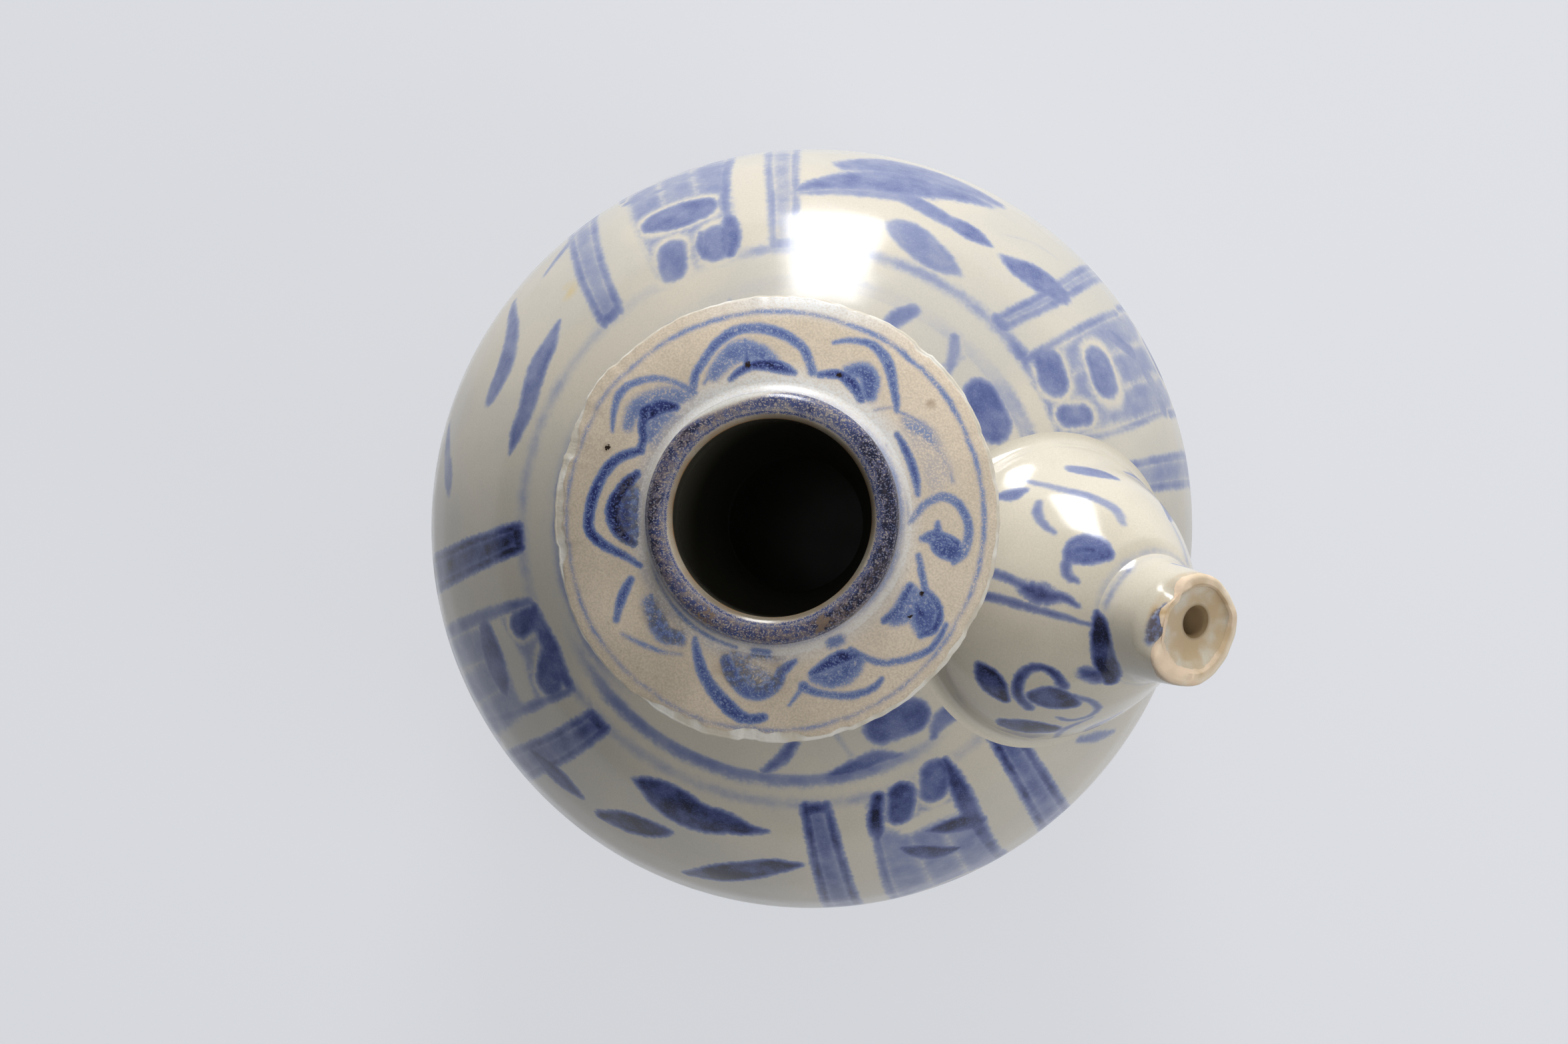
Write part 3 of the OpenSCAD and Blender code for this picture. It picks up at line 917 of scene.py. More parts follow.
@dataclass
class Body:
    """The foot ring and the two halves of the body, which are half ellipses about the belly."""

    radius: float
    belly_z: float
    base_z: float
    neck_z: float
    neck_r: float
    foot_r: float
    foot_h: float
    seam: float
    wall: float = 5.0
    floor: float = 6.0
    ledge: float = 3.0
    foot_width: float = 7.0
    foot_round: float = 1.4
    columns: int = 640
    lower_columns: int = 600
    foot_columns: int = 480
    finish: bpy.types.Material | None = field(default=None, repr=False)

    @classmethod
    def from_frame(cls) -> "Body":
        """Return the body with its sizes read from the frame.

        Returns:
            The body.
        """
        lower, upper, foot = span("lower_body"), span("upper_body"), span("foot_ring")
        return cls(radius=upper[1][1], belly_z=(lower[1][2] + upper[0][2]) / 2, base_z=lower[0][2],
                   neck_z=upper[1][2], neck_r=span("neck_luting")[1][1], foot_r=foot[1][1],
                   foot_h=foot[1][2], seam=upper[0][2] - lower[1][2])

    @property
    def rise(self) -> float:
        """Half height of the upper ellipse, which passes through the neck's joint."""
        return (self.neck_z - self.belly_z) / math.sqrt(1.0 - (self.neck_r / self.radius) ** 2)

    @property
    def fall(self) -> float:
        """Half height of the lower ellipse, which passes through the ledge at the foot."""
        share = (self.foot_r + self.ledge) / self.radius
        return (self.belly_z - self.base_z) / math.sqrt(1.0 - share ** 2)

    def outline(self, phi: Array, inset: float = 0.0) -> Array:
        """Return (radius, height) on the outline at angles from the belly, moved in by an inset.

        Args:
            phi: Angles from the belly, in degrees.
            inset: How far inside the wall.

        Returns:
            A pair for each angle.
        """
        turn = np.radians(phi)
        half = np.where(turn >= 0.0, self.rise, self.fall) - inset
        return np.stack([(self.radius - inset) * np.cos(turn), self.belly_z + half * np.sin(turn)], axis=-1)

    def angle(self, height: float, inset: float = 0.0) -> float:
        """Return the angle from the belly at which the outline reaches a height."""
        lift = height - self.belly_z
        return math.degrees(math.asin(lift / ((self.rise if lift >= 0.0 else self.fall) - inset)))

    def place(self, azimuth: Array, phi: Array) -> Array:
        """Return points of the outside at an azimuth and an angle from the belly."""
        section = self.outline(phi)
        return about_axis(azimuth, section[..., 0], section[..., 1])

    def beneath(self, point: Array) -> Array:
        """Return the point dropped or lifted onto the shoulder along the ray from the belly's middle.

        Args:
            point: Points near the shoulder.

        Returns:
            The points on the shoulder.
        """
        scaled = (point - [0.0, 0.0, self.belly_z]) / [self.radius, self.radius, self.rise]
        scaled = scaled / np.linalg.norm(scaled, axis=-1, keepdims=True)
        return scaled * [self.radius, self.radius, self.rise] + [0.0, 0.0, self.belly_z]

    def outward(self, point: Array) -> Array:
        """Return the outward unit normal of the shoulder's ellipse at a point on it."""
        slope = (point - [0.0, 0.0, self.belly_z]) / np.square([self.radius, self.radius, self.rise])
        return slope / np.linalg.norm(slope, axis=-1, keepdims=True)

    def build(self) -> None:
        """Make the foot ring, both halves and their slip."""
        strokes = SHOULDER_STROKES + panel_strokes() + shoulder_petals()
        self.build_foot()
        self.build_lower(strokes)
        self.build_belly(strokes)
        self.build_upper(strokes)

    def paint(self, canvas: Canvas, strokes: list[Stroke]) -> None:
        """Lay the panels and the ring lines on one piece of the body.

        Args:
            canvas: The piece's surface.
            strokes: Strokes in azimuth and angle from the belly.
        """
        canvas.brush(strokes, self.place)
        azimuth = canvas.azimuth
        shaded = patches(azimuth, (0.1, 150.0, 50.0), (0.28, -155.0, 34.0), (0.08, 45.0, 34.0))
        bright_side = patches(azimuth, (0.16, 55.0, 60.0), (0.14, 36.0, 20.0))
        canvas.ring(57.4, 6.4, shaded, 1.1, Layer.WASH)
        sagging = 52.5 - 2.0 * window(azimuth, -105.0, 75.0)
        dark_side = window(azimuth, -90.0, 42.0)
        canvas.ring(sagging, 1.6, 0.08 + 0.38 * dark_side + bright_side, 1.15, Layer.WASH)
        canvas.ring(45.6, 1.5, 0.18 + 0.06 * window(azimuth, -130.0, 75.0) + bright_side, 1.15, Layer.WASH)
        for ring in BODY_RINGS:
            canvas.ring(*ring, 1.15)

    def build_foot(self) -> None:
        """Turn the foot ring: a short wall with rounded lower edges, and the slip on top of it."""
        outer, inner, edge = self.foot_r, self.foot_r - self.foot_width, self.foot_round
        low, high = self.foot_h, self.base_z
        section, tags = joined(
            arc(outer - edge, edge, edge, -90.0, 0.0, 10),
            *walls((outer, edge), ((outer, low), 14), ((inner, low), 4), ((inner, edge), 14)),
            arc(inner + edge, edge, edge, 180.0, 270.0, 10),
            straight((inner + edge, 0.0), (outer - edge, 0.0), 8))
        canvas = Canvas(Skin.revolved(section, tags, self.foot_columns, (0, 1)))
        canvas.ring(4.4, 0.5, 0.55)
        canvas.extra["bare"] = 1.0 - 0.95 * smooth(1.2, 2.2, canvas.station)
        canvas.extra["rust"] = 0.5 * canvas.extra["bare"]
        make_piece("foot_ring", canvas, self.finish)
        section, tags = joined(*walls(
            (outer, low), ((outer, high), 4), ((inner, high), 4), ((inner, low), 4), ((outer, low), 4)))
        canvas = Canvas(Skin.revolved(section, tags, self.foot_columns, (0,)))
        canvas.extra["pool_and_highlight"][:] = 0.5
        make_piece("foot_luting", canvas, self.finish)

    def build_lower(self, strokes: list[Stroke]) -> None:
        """Turn the lower half, from the base's middle up the outside and down the inside.

        Args:
            strokes: The body's painting.
        """
        seam = self.belly_z - self.seam / 2
        floor_z = self.base_z + self.floor
        outer = steps(self.angle(self.base_z), self.angle(seam), 108)
        inner = np.linspace(self.angle(seam, self.wall), self.angle(floor_z, self.wall), 14)
        outside, inside = self.outline(outer), self.outline(inner, self.wall)
        section, tags = joined(
            straight((0.0, self.base_z), outside[0], 18), outside,
            straight(outside[-1], inside[0], 3), inside, straight(inside[-1], (0.0, floor_z), 6))
        station = np.where(tags == 1, np.interp(section[:, 1], outside[:, 1], outer), -90.0)
        canvas = Canvas(Skin.revolved(section, tags, self.lower_columns, (1,), station, poles=True))
        self.paint(canvas, strokes)
        # The inner wall and floor are darkened: painted shade.
        canvas.extra["inside"] = canvas.on_runs(2, 3, 4)
        make_piece("lower_body", canvas, self.finish)

    def build_belly(self, strokes: list[Stroke]) -> None:
        """Turn the ring of slip at the belly, flush with the wall.

        Args:
            strokes: The body's painting.
        """
        low, high = self.belly_z - self.seam / 2, self.belly_z + self.seam / 2
        phi = np.linspace(self.angle(low), self.angle(high), 7)
        outside = self.outline(phi)
        inner = self.radius - self.wall
        section, tags = joined(outside, *walls(
            outside[-1], ((inner, high), 3), ((inner, low), 3), (outside[0], 3)))
        station = np.interp(section[:, 1], outside[:, 1], phi)
        canvas = Canvas(Skin.revolved(section, tags, self.columns, (0,), station))
        self.paint(canvas, strokes)
        make_piece("belly_luting", canvas, self.finish)

    def build_upper(self, strokes: list[Stroke]) -> None:
        """Turn the upper half, up the outside to the neck's joint and down the inside.

        Args:
            strokes: The body's painting.
        """
        seam = self.belly_z + self.seam / 2
        bore = NECK_BORE_R
        inner_top = math.degrees(math.acos(bore / (self.radius - self.wall)))
        outer = steps(self.angle(seam), self.angle(self.neck_z), 128)
        inner = np.linspace(inner_top, self.angle(seam, self.wall), 14)
        outside, inside = self.outline(outer), self.outline(inner, self.wall)
        section, tags = joined(
            outside, *walls(outside[-1], ((bore, self.neck_z), 3), (inside[0], 3)),
            inside, straight(inside[-1], outside[0], 3))
        station = np.where(tags == 0, np.interp(section[:, 1], outside[:, 1], outer), -90.0)
        canvas = Canvas(Skin.revolved(section, tags, self.columns, (0,), station))
        self.paint(canvas, strokes)
        # The inner wall is darkened: painted shade.
        canvas.extra["inside"] = canvas.on_runs(2, 3)
        canvas.extra["rust"] = 0.7 * (1.0 - smooth(0.5, 3.2, canvas.from_spot(self.place, 150.0, 32.0)))
        canvas.extra["pool_and_highlight"] = 0.5 * smooth(67.0, 71.0, canvas.station)
        make_piece("upper_body", canvas, self.finish)


@dataclass
class Neck:
    """The waisted neck and the slip at both its ends."""

    base_r: float
    top_r: float
    bottom_z: float
    top_z: float
    shoulder_z: float
    flange_z: float
    mouth_r: float
    waist_r: float = 19.0
    bore_r: float = NECK_BORE_R
    fillet: float = 2.2
    columns: int = 360
    finish: bpy.types.Material | None = field(default=None, repr=False)

    @classmethod
    def from_frame(cls) -> "Neck":
        """Return the neck with its sizes read from the frame.

        Returns:
            The neck.
        """
        low, high = span("neck")
        joint, mouth = span("flange_luting"), record_mount("mouth")
        return cls(base_r=high[1], top_r=joint[1][1], bottom_z=low[2], top_z=high[2],
                   shoulder_z=span("neck_luting")[0][2], flange_z=joint[1][2], mouth_r=mouth["dims"]["r_mm"])

    def outside(self, height: Array) -> Array:
        """Return the radius at a height above the neck's foot: a fading cove, a waist and a swell.

        Args:
            height: Heights in millimetres.

        Returns:
            The radius at each height.
        """
        length = self.top_z - self.bottom_z
        cove = (self.base_r - self.waist_r) * np.exp(-height / (length / 9.0))
        return self.waist_r + cove + (self.top_r - self.waist_r) * (height / length) ** 3

    def place(self, azimuth: Array, height: Array) -> Array:
        """Return points of the outside at an azimuth and a height above the neck's foot."""
        return about_axis(azimuth, self.outside(height), self.bottom_z + height)

    def strokes(self) -> list[Stroke]:
        """Return the neck's painting: tall plantain leaves with veins, four flower heads between them.

        Returns:
            Strokes in azimuth and height.
        """
        strokes = []
        for c in np.arange(0.0, 360.0, 45.0):
            head = c + 22.5
            for side in (-1.0, 1.0):
                strokes.append(line(0.65, (c + 17 * side, 4.5, 0.5), (c + 16 * side, 15, 0.6),
                                    (c + 9 * side, 27, 0.6), (c, 36, 0.35)))
                strokes.append(wash(0.4, (c + 7 * side, 6, 1.4), (c + 6 * side, 16, 1.4),
                                    (c + 3 * side, 25, 0.6)))
                strokes.append(line(0.6, (head + 5 * side, 40, 0.4), (head + 9 * side, 42.5, 0.9),
                                    (head + 12 * side, 41.5, 0.3)))
            strokes.append(line(0.6, (c, 5, 0.45), (c, 20, 0.4), (c, 30, 0.25)))
            strokes.append(line(0.75, (head, 41.5, 1.3), (head, 42.5, 1.3)))
        return strokes

    def build(self, body: Body) -> None:
        """Turn the neck and its two rings of slip.

        Args:
            body: The body, whose shoulder the lower slip runs out on.
        """
        height = steps(0.0, self.top_z - self.bottom_z, 96)
        outside = np.column_stack([self.outside(height), self.bottom_z + height])
        section, tags = joined(outside, *walls(
            outside[-1], ((self.mouth_r, self.top_z), 3), ((self.bore_r, self.bottom_z), 24),
            (outside[0], 3)))
        canvas = Canvas(Skin.revolved(section, tags, self.columns, (0,), section[:, 1] - self.bottom_z))
        canvas.brush(self.strokes(), self.place)
        for station, half, tone in ((2.6, 0.5, 0.5), (46.5, 0.45, 0.5), (48.6, 0.45, 0.5)):
            canvas.ring(station, half, tone)
        # The neck's bore is darkened: painted shade.
        canvas.extra["inside"] = canvas.on_runs(1, 2, 3)
        make_piece("neck", canvas, self.finish)
        self.build_lower_slip(body)
        self.build_upper_slip()

    def build_lower_slip(self, body: Body) -> None:
        """Turn the slip at the shoulder: a hollow that runs out on the shoulder and up the neck.

        Args:
            body: The body that it runs out on.
        """
        base, bore, low, high = self.base_r, self.bore_r, self.shoulder_z, self.bottom_z
        lean = math.degrees(math.acos((base + self.fillet) / body.radius))
        out = body.outline(np.array([lean]))[0]
        up = np.array([self.outside(np.array(self.fillet)), high + self.fillet])
        section, tags = joined(fillet(out, np.array([base, (low + high) / 2]), up, 20), *walls(
            up, (up - (0.6, 0.0), 2), ((base - 0.8, high), 4), ((bore, high), 3), ((bore, low), 3),
            ((base, low), 3), (out - (0.0, 0.5), 3)))
        canvas = Canvas(Skin.revolved(section, tags, self.columns, (0,)))
        canvas.extra["pool_and_highlight"] = 0.45 * canvas.painted
        # Its hidden faces are darkened: painted shade.
        canvas.extra["inside"] = 1.0 - canvas.painted
        make_piece("neck_luting", canvas, self.finish)

    def build_upper_slip(self) -> None:
        """Turn the slip under the flange, flush with the neck."""
        outer, bore, low, high = self.top_r, self.mouth_r, self.top_z, self.flange_z
        section, tags = joined(*walls(
            (outer, low), ((outer, high), 4), ((bore, high), 4), ((bore, low), 3), ((outer, low), 4)))
        canvas = Canvas(Skin.revolved(section, tags, self.columns, (0,)))
        # Its hidden faces are darkened: painted shade.
        canvas.extra["inside"] = 1.0 - canvas.painted
        make_piece("flange_luting", canvas, self.finish)


FLANGE_STROKES = [
    # Lappet at 155 degrees
    line(0.46, (166.8, 31.5, 0.3), (162.6, 32.7, 0.5), (157, 33.8, 0.7), (152, 33.5, 0.7),
         (146.4, 31.8, 0.65), (143, 30, 0.6), (140.4, 27.9, 0.6), (138, 25.6, 0.85)),
    wash(0.4, (163, 29.6, 1), (156.5, 30.2, 1.5), (150, 29, 1.9), (144, 26.8, 1.8), (140, 25, 1)),
    line(0.92, (146.6, 25.4, 0.6), (150.6, 27.2, 1.3), (155.5, 28.3, 1.4)),
    line(0.72, (156, 28.3, 0.9), (160.2, 27.5, 0.75), (163.5, 26.2, 0.7), (167.4, 25.8, 0.6)),
    wash(0.36, (163, 24.6, 1), (157, 26, 2), (150, 24.6, 1)),
    # Lappet at 114 degrees
    line(0.54, (138, 25.8, 0.8), (134.4, 27.9, 0.7), (129, 29.7, 0.75), (123, 31.7, 0.85),
         (117, 32.8, 0.9), (111, 32.7, 0.9), (103, 31.5, 0.9), (96.6, 29.7, 0.85), (93, 27.6, 0.8),
         (90.6, 25.6, 0.8)),
    line(0.4, (132.6, 26, 0.3), (129, 27, 0.38), (125.4, 27.9, 0.3)),
    wash(0.46, (128, 26.6, 1.2), (122, 28.4, 1.7), (116.4, 29.2, 2), (111, 28.4, 1.6), (106, 26.8, 1.2)),
    line(0.86, (122.7, 24.9, 0.4), (117.9, 25.9, 0.6), (112.8, 26.4, 0.75), (107.4, 26.2, 1),
         (101.7, 25.6, 0.95), (97.4, 25, 0.4)),
    line(0.7, (114.6, 30.9, 0.2), (114.9, 28.6, 0.4), (115.2, 26.2, 0.7)),
    pit(115, 26.6, 0.4),
    # Lappet at 74 degrees
    line(0.88, (87.9, 25.5, 0.5), (81, 26.7, 0.75), (75.9, 26.4, 1), (69.3, 24.9, 0.7)),
    wash(0.62, (78, 28, 1), (74, 29, 1.4), (70.6, 28.4, 1.6), (68, 26.4, 1.2)),
    line(0.58, (86.7, 31.5, 0.3), (82.8, 32.7, 0.45), (76.8, 33.6, 0.65), (72, 33.2, 0.85),
         (67.2, 31.8, 0.9), (63, 30, 0.75), (59.4, 28.7, 0.6), (56.4, 27.4, 0.4)),
    line(0.3, (62.4, 24.8, 0.3), (60.6, 26, 0.35), (58.8, 27.1, 0.25)),
    pit(80.8, 26.7, 0.34),
    # Lappet at 37 degrees, where the cobalt is thin
    wash(0.14, (49, 27.4, 1.8), (41, 28.4, 2.8), (33, 28.4, 2.8), (25, 27.8, 1.8)),
    wash(0.36, (52, 27.6, 0.9), (47.5, 28.8, 1.3), (42, 30, 1.1), (34, 30.6, 0.7), (27, 30.6, 0.4)),
    line(0.68, (49.5, 25, 0.4), (41, 24.9, 0.65), (32, 24.8, 0.65), (24.6, 24.5, 0.4)),
    line(0.36, (56.4, 27.4, 0.35), (51.6, 28.7, 0.38), (46.8, 29.7, 0.3)),
    line(0.55, (48.3, 22.3, 0.35), (38.4, 21.8, 0.45), (27.3, 22, 0.4), (12.6, 22.6, 0.3)),
    # Lappet at 10 degrees
    line(0.45, (13.2, 22.7, 0.5), (17.4, 24.2, 0.7), (20.4, 25.6, 0.75), (22.4, 28.2, 0.8),
         (21, 30.2, 0.8), (18.2, 31.6, 0.8), (13, 32.8, 0.8), (6, 32.7, 0.9), (1.4, 31.2, 0.6)),
    line(0.62, (7.2, 25.1, 0.5), (8, 27, 1.2), (6, 28.9, 2), (5, 30.6, 1.9)),
    line(0.55, (9, 27.6, 0.9), (13.4, 27.6, 0.35)),
    line(0.55, (0.6, 25.1, 0.45), (-3.6, 26.1, 0.55), (-7.8, 27.3, 0.6), (-11, 28.4, 0.6)),
    # Lappet at -19 degrees
    wash(0.58, (-14, 26.4, 1.4), (-19, 27, 2), (-25, 26.4, 1.2)),
    wash(0.56, (-14, 28.6, 1.8), (-17.5, 30, 2.6), (-21.5, 31.4, 1.4)),
    line(0.74, (-11.6, 25.7, 0.6), (-17, 25.8, 0.8), (-22, 26, 0.9), (-28, 25.4, 0.5)),
    line(0.66, (-10.6, 28.4, 0.6), (-12.6, 30.8, 0.7), (-15.4, 32.4, 0.7), (-20, 32.8, 0.7),
         (-23.6, 31.6, 0.6)),
    line(0.8, (-16, 27.6, 0.4), (-17.4, 29, 0.9), (-18.4, 30.4, 0.4)),
    pit(-12, 28.0, 0.3),
    pit(-21, 28.4, 0.3),
    line(0.52, (-17, 34.2, 0.45), (-24, 34.5, 0.6), (-30, 33.3, 0.65), (-34.8, 31.8, 0.65),
         (-39, 30.2, 0.6), (-42, 28.1, 0.55), (-45, 25.8, 0.6)),
    # Lappet at -54 degrees
    wash(0.7, (-46.4, 23.1, 0.8), (-50, 23, 0.9)),
    wash(0.6, (-45, 28, 1.2), (-50, 28.6, 1.9), (-56, 28.6, 1.7), (-60.6, 27.8, 1)),
    line(0.86, (-61.6, 27, 0.5), (-55.5, 26.4, 1), (-49.5, 26.2, 1.2), (-44.6, 27, 0.6)),
    line(0.56, (-41.4, 32.7, 0.4), (-45, 33.2, 0.6), (-51, 32.8, 0.68), (-57, 31.5, 0.65),
         (-63, 29.9, 0.7), (-65.4, 28.9, 0.9)),
    line(0.55, (-66, 29.2, 0.5), (-68.6, 30.6, 0.28), (-70.8, 31.8, 0.15)),
    # Lappet at -84 degrees
    wash(0.8, (-78, 22.9, 0.8), (-83.5, 22.8, 0.9)),
    line(0.6, (-66.8, 24.4, 0.4), (-70, 25.2, 0.7), (-72.4, 26, 0.8)),
    line(0.5, (-72.6, 26, 0.9), (-75, 28.2, 1.2), (-80, 29.7, 1.3), (-85, 29.5, 1.3), (-90, 27.6, 1.3),
         (-94, 25.4, 1)),
    wash(0.3, (-78, 27.4, 1.8), (-84, 26.8, 2.6), (-90, 25.2, 2)),
    line(0.66, (-78.6, 33.8, 0.7), (-82.8, 34.5, 0.95), (-87, 33.5, 1.1), (-90, 32.6, 1.2),
         (-99, 29.4, 1), (-103.2, 27.4, 0.85), (-106.8, 25.5, 0.65), (-108.6, 24.5, 0.45)),
    # Lappet at -127 degrees, where the cobalt is thin
    wash(0.5, (-114, 26, 1.5), (-119, 27.2, 1.6), (-124, 26.4, 1.7), (-131, 25.6, 1.4)),
    line(0.5, (-133, 24.8, 0.5), (-127.5, 26.3, 0.9), (-122.6, 26.8, 0.6)),
    line(0.34, (-109.6, 28, 0.4), (-114.4, 29.4, 0.5), (-120.3, 30.8, 0.52), (-128.2, 32.6, 0.4)),
    line(0.6, (-132.6, 32.1, 0.5), (-137, 29.8, 0.75), (-140, 28, 0.7), (-142.2, 26.6, 0.5)),
    # Haze and line at the collar's foot
    wash(0.2, (132, 23.8, 1), (160, 23.6, 1.4), (185, 23.4, 1.5), (207, 23.6, 1.2)),
    wash(0.18, (-152, 23.6, 1), (-125, 23.8, 1.4), (-100, 24, 1.4), (-66, 23.8, 1)),
    line(0.4, (161, 22.6, 0.25), (172, 22.3, 0.3), (184, 21.8, 0.35), (196, 21.5, 0.4), (210, 21.8, 0.4)),
    line(0.66, (-150, 21.8, 0.4), (-133, 22.4, 0.45), (-117, 22.9, 0.4), (-103.5, 22.9, 0.4),
         (-92, 22.7, 0.4)),
    # Lappet at -170 degrees
    line(0.86, (-145.8, 24.2, 0.35), (-150, 25.8, 0.5), (-153.6, 27.8, 0.65), (-157.2, 30, 0.8),
         (-161.4, 31.7, 0.85), (-166.2, 31.7, 0.9), (-172.2, 31.2, 0.9), (-180, 30.1, 0.85),
         (-186, 28.6, 0.75), (-192, 25.5, 0.6)),
    line(1, (-155.2, 24.4, 0.6), (-160.8, 26.6, 1.1), (-167.4, 27.6, 1.3), (-175.2, 26.5, 1.1),
         (-183, 24.6, 0.6)),
    wash(0.8, (-159, 24.2, 1), (-167, 25, 1.8), (-175, 24.4, 1)),
    pit(172, 31, 0.36),
]


# Swells of the flange's edge in millimetres, with azimuth and half width, and its waves round the rim
RIM_SWELLS = ((0.6, 158, 6), (0.3, 118, 38), (0.4, 62, 18), (0.2, -60, 22), (0.65, -115, 30))
RIM_WAVES = ((0.05, 11, 1.0), (0.04, 19, 2.2), (0.03, 37, 0.0), (0.03, 53, 0.5), (0.03, 83, 0.0))
# The same for the width of the edge's worn band
WORN_PATCHES = ((1.25, 189, 19), (1.45, -87, 20), (0.4, -38, 28), (0.3, 10, 26), (0.35, 57, 20))
WORN_WAVES = ((0.16, 13, 0.7), (0.12, 29, 0.0), (0.08, 67, 1.0))
# Azimuth and depth of the small bites in the flange's edge
RIM_BITES = ((204, 0.3), (176, 0.2), (64, 0.3), (36, 0.2), (-14, 0.2), (-58, 0.25), (-82, 0.3), (-112, 0.2))
# Browned areas of the flange: strength, azimuth and half width, and the radii over which each fades out
FLANGE_BROWNED = (
    (0.6, -167.0, 14.0, 26.0, 28.0),
    (0.65, -84.0, 12.0, 28.5, 30.5),
    (0.6, -121.0, 11.0, 27.5, 29.0),
)
# Azimuth and radius of the flange's rust spots
FLANGE_SPOTS = ((51.3, 32.7), (172.0, 31.0))


@dataclass
class Mouth:
    """The drooping flange, the upright collar and the cove of slip between them."""

    bore_r: float
    collar_r: float
    collar_z: float
    collar_top: float
    flange_z: float
    flange_top: float
    flange_r: float
    neck_r: float
    edge: float = 2.6
    drop: float = 4.0
    cove: float = 2.0
    lip: float = 1.9
    crisp: float = 0.45
    blunt: float = 0.9
    run: float = 0.1
    line_r: float = 35.6
    line_half: float = 0.56
    sunk: float = 0.18
    columns: int = 680
    cove_columns: int = 600
    collar_columns: int = 480
    flange_finish: bpy.types.Material | None = field(default=None, repr=False)
    collar_finish: bpy.types.Material | None = field(default=None, repr=False)

    @classmethod
    def from_frame(cls) -> "Mouth":
        """Return the mouth with its sizes read from the frame.

        Returns:
            The mouth.
        """
        flange, collar, slip = span("mouth_flange"), span("mouth_collar"), span("flange_luting")
        return cls(bore_r=record_mount("mouth")["dims"]["r_mm"], collar_r=collar[1][1],
                   collar_z=collar[0][2], collar_top=collar[1][2], flange_z=slip[1][2],
                   flange_top=flange[1][2], flange_r=flange[1][1], neck_r=slip[1][1])

    @property
    def seat_r(self) -> float:
        """Radius at which the cove of slip runs out on the flange."""
        return self.collar_r + self.cove

    def top(self, radius: Array) -> Array:
        """Return the height of the flange's top: level under the collar, then falling as a square."""
        share = np.maximum(radius - self.seat_r, 0.0) / (self.flange_r - self.seat_r)
        return self.flange_top - self.drop * share ** 2

    def under(self, radius: Array) -> Array:
        """Return the height of the flange's underside: thin at the edge and deepest at the neck.

        Args:
            radius: Distances from the axis.

        Returns:
            The height at each distance.
        """
        share = (radius - self.neck_r) / (self.flange_r - self.neck_r)
        root = self.top(np.array(self.neck_r)) - self.flange_z - self.edge
        return self.top(radius) - self.edge - root * (1.0 - share) ** 2

    def place(self, azimuth: Array, radius: Array) -> Array:
        """Return points of the flange's top at an azimuth and a radius."""
        return about_axis(azimuth, radius, self.top(radius))

    def rim(self, azimuth: Array) -> Array:
        """Return the worn radius of the flange: swells, flats and small bites round its edge.

        Args:
            azimuth: Azimuths in degrees.

        Returns:
            The radius at each azimuth.
        """
        radius = self.flange_r + patches(azimuth, *RIM_SWELLS) + waves(np.radians(azimuth), *RIM_WAVES)
        for bite, depth in RIM_BITES:
            radius -= depth * window(azimuth, bite, 2.2)
        return radius

    def worn(self, azimuth: Array) -> Array:
        """Return the width of the band at the edge that has lost its glaze."""
        return (0.28 + patches(azimuth, *WORN_PATCHES)) * (0.95 + waves(np.radians(azimuth), *WORN_WAVES))

    def build(self) -> None:
        """Make the flange, the cove and the collar."""
        self.build_flange()
        self.build_cove()
        self.build_collar()

    def build_flange(self) -> None:
        """Turn the flange and wear its edge away."""
        inner = np.linspace(self.neck_r, self.flange_r - self.blunt, 26)
        outer = steps(self.flange_r - self.crisp, self.seat_r, 88)
        under = np.column_stack([inner, self.under(inner)])
        top = np.column_stack([outer, self.top(outer)])
        low, high = under[-1][1] + self.blunt, top[0][1] - self.crisp
        rim = np.vstack([arc(inner[-1], low, self.blunt, -90.0, 0.0, 8)[:-1],
                         straight((self.flange_r, low), (self.flange_r, high), 5)[:-1],
                         arc(outer[0], high, self.crisp, 0.0, 90.0, 8)])
        section, tags = joined(under, rim, top, *walls(
            top[-1], ((self.bore_r, self.flange_top), 3), ((self.bore_r, self.flange_z), 4), (under[0], 3)))
        skin = Skin.revolved(section, tags, self.columns, (1, 2), section[:, 0])
        canvas = Canvas(skin)
        self.dress_flange(canvas)
        edge, band, radius = self.rim(skin.azimuth[0]), self.worn(skin.azimuth[0]), skin.station
        scale = 1.0 + smooth(30.0, self.flange_r, radius) * (edge - self.flange_r) / self.flange_r
        worn = smooth(-0.14, 0.14, radius * scale - (edge - band)) * skin.painted
        canvas.extra["bare"] = skin.gather(worn)
        skin.points = skin.points * np.stack([scale, scale, np.ones_like(scale)], axis=-1)
        skin.points[..., 2] -= self.sunk * worn
        make_piece("mouth_flange", canvas, self.flange_finish)

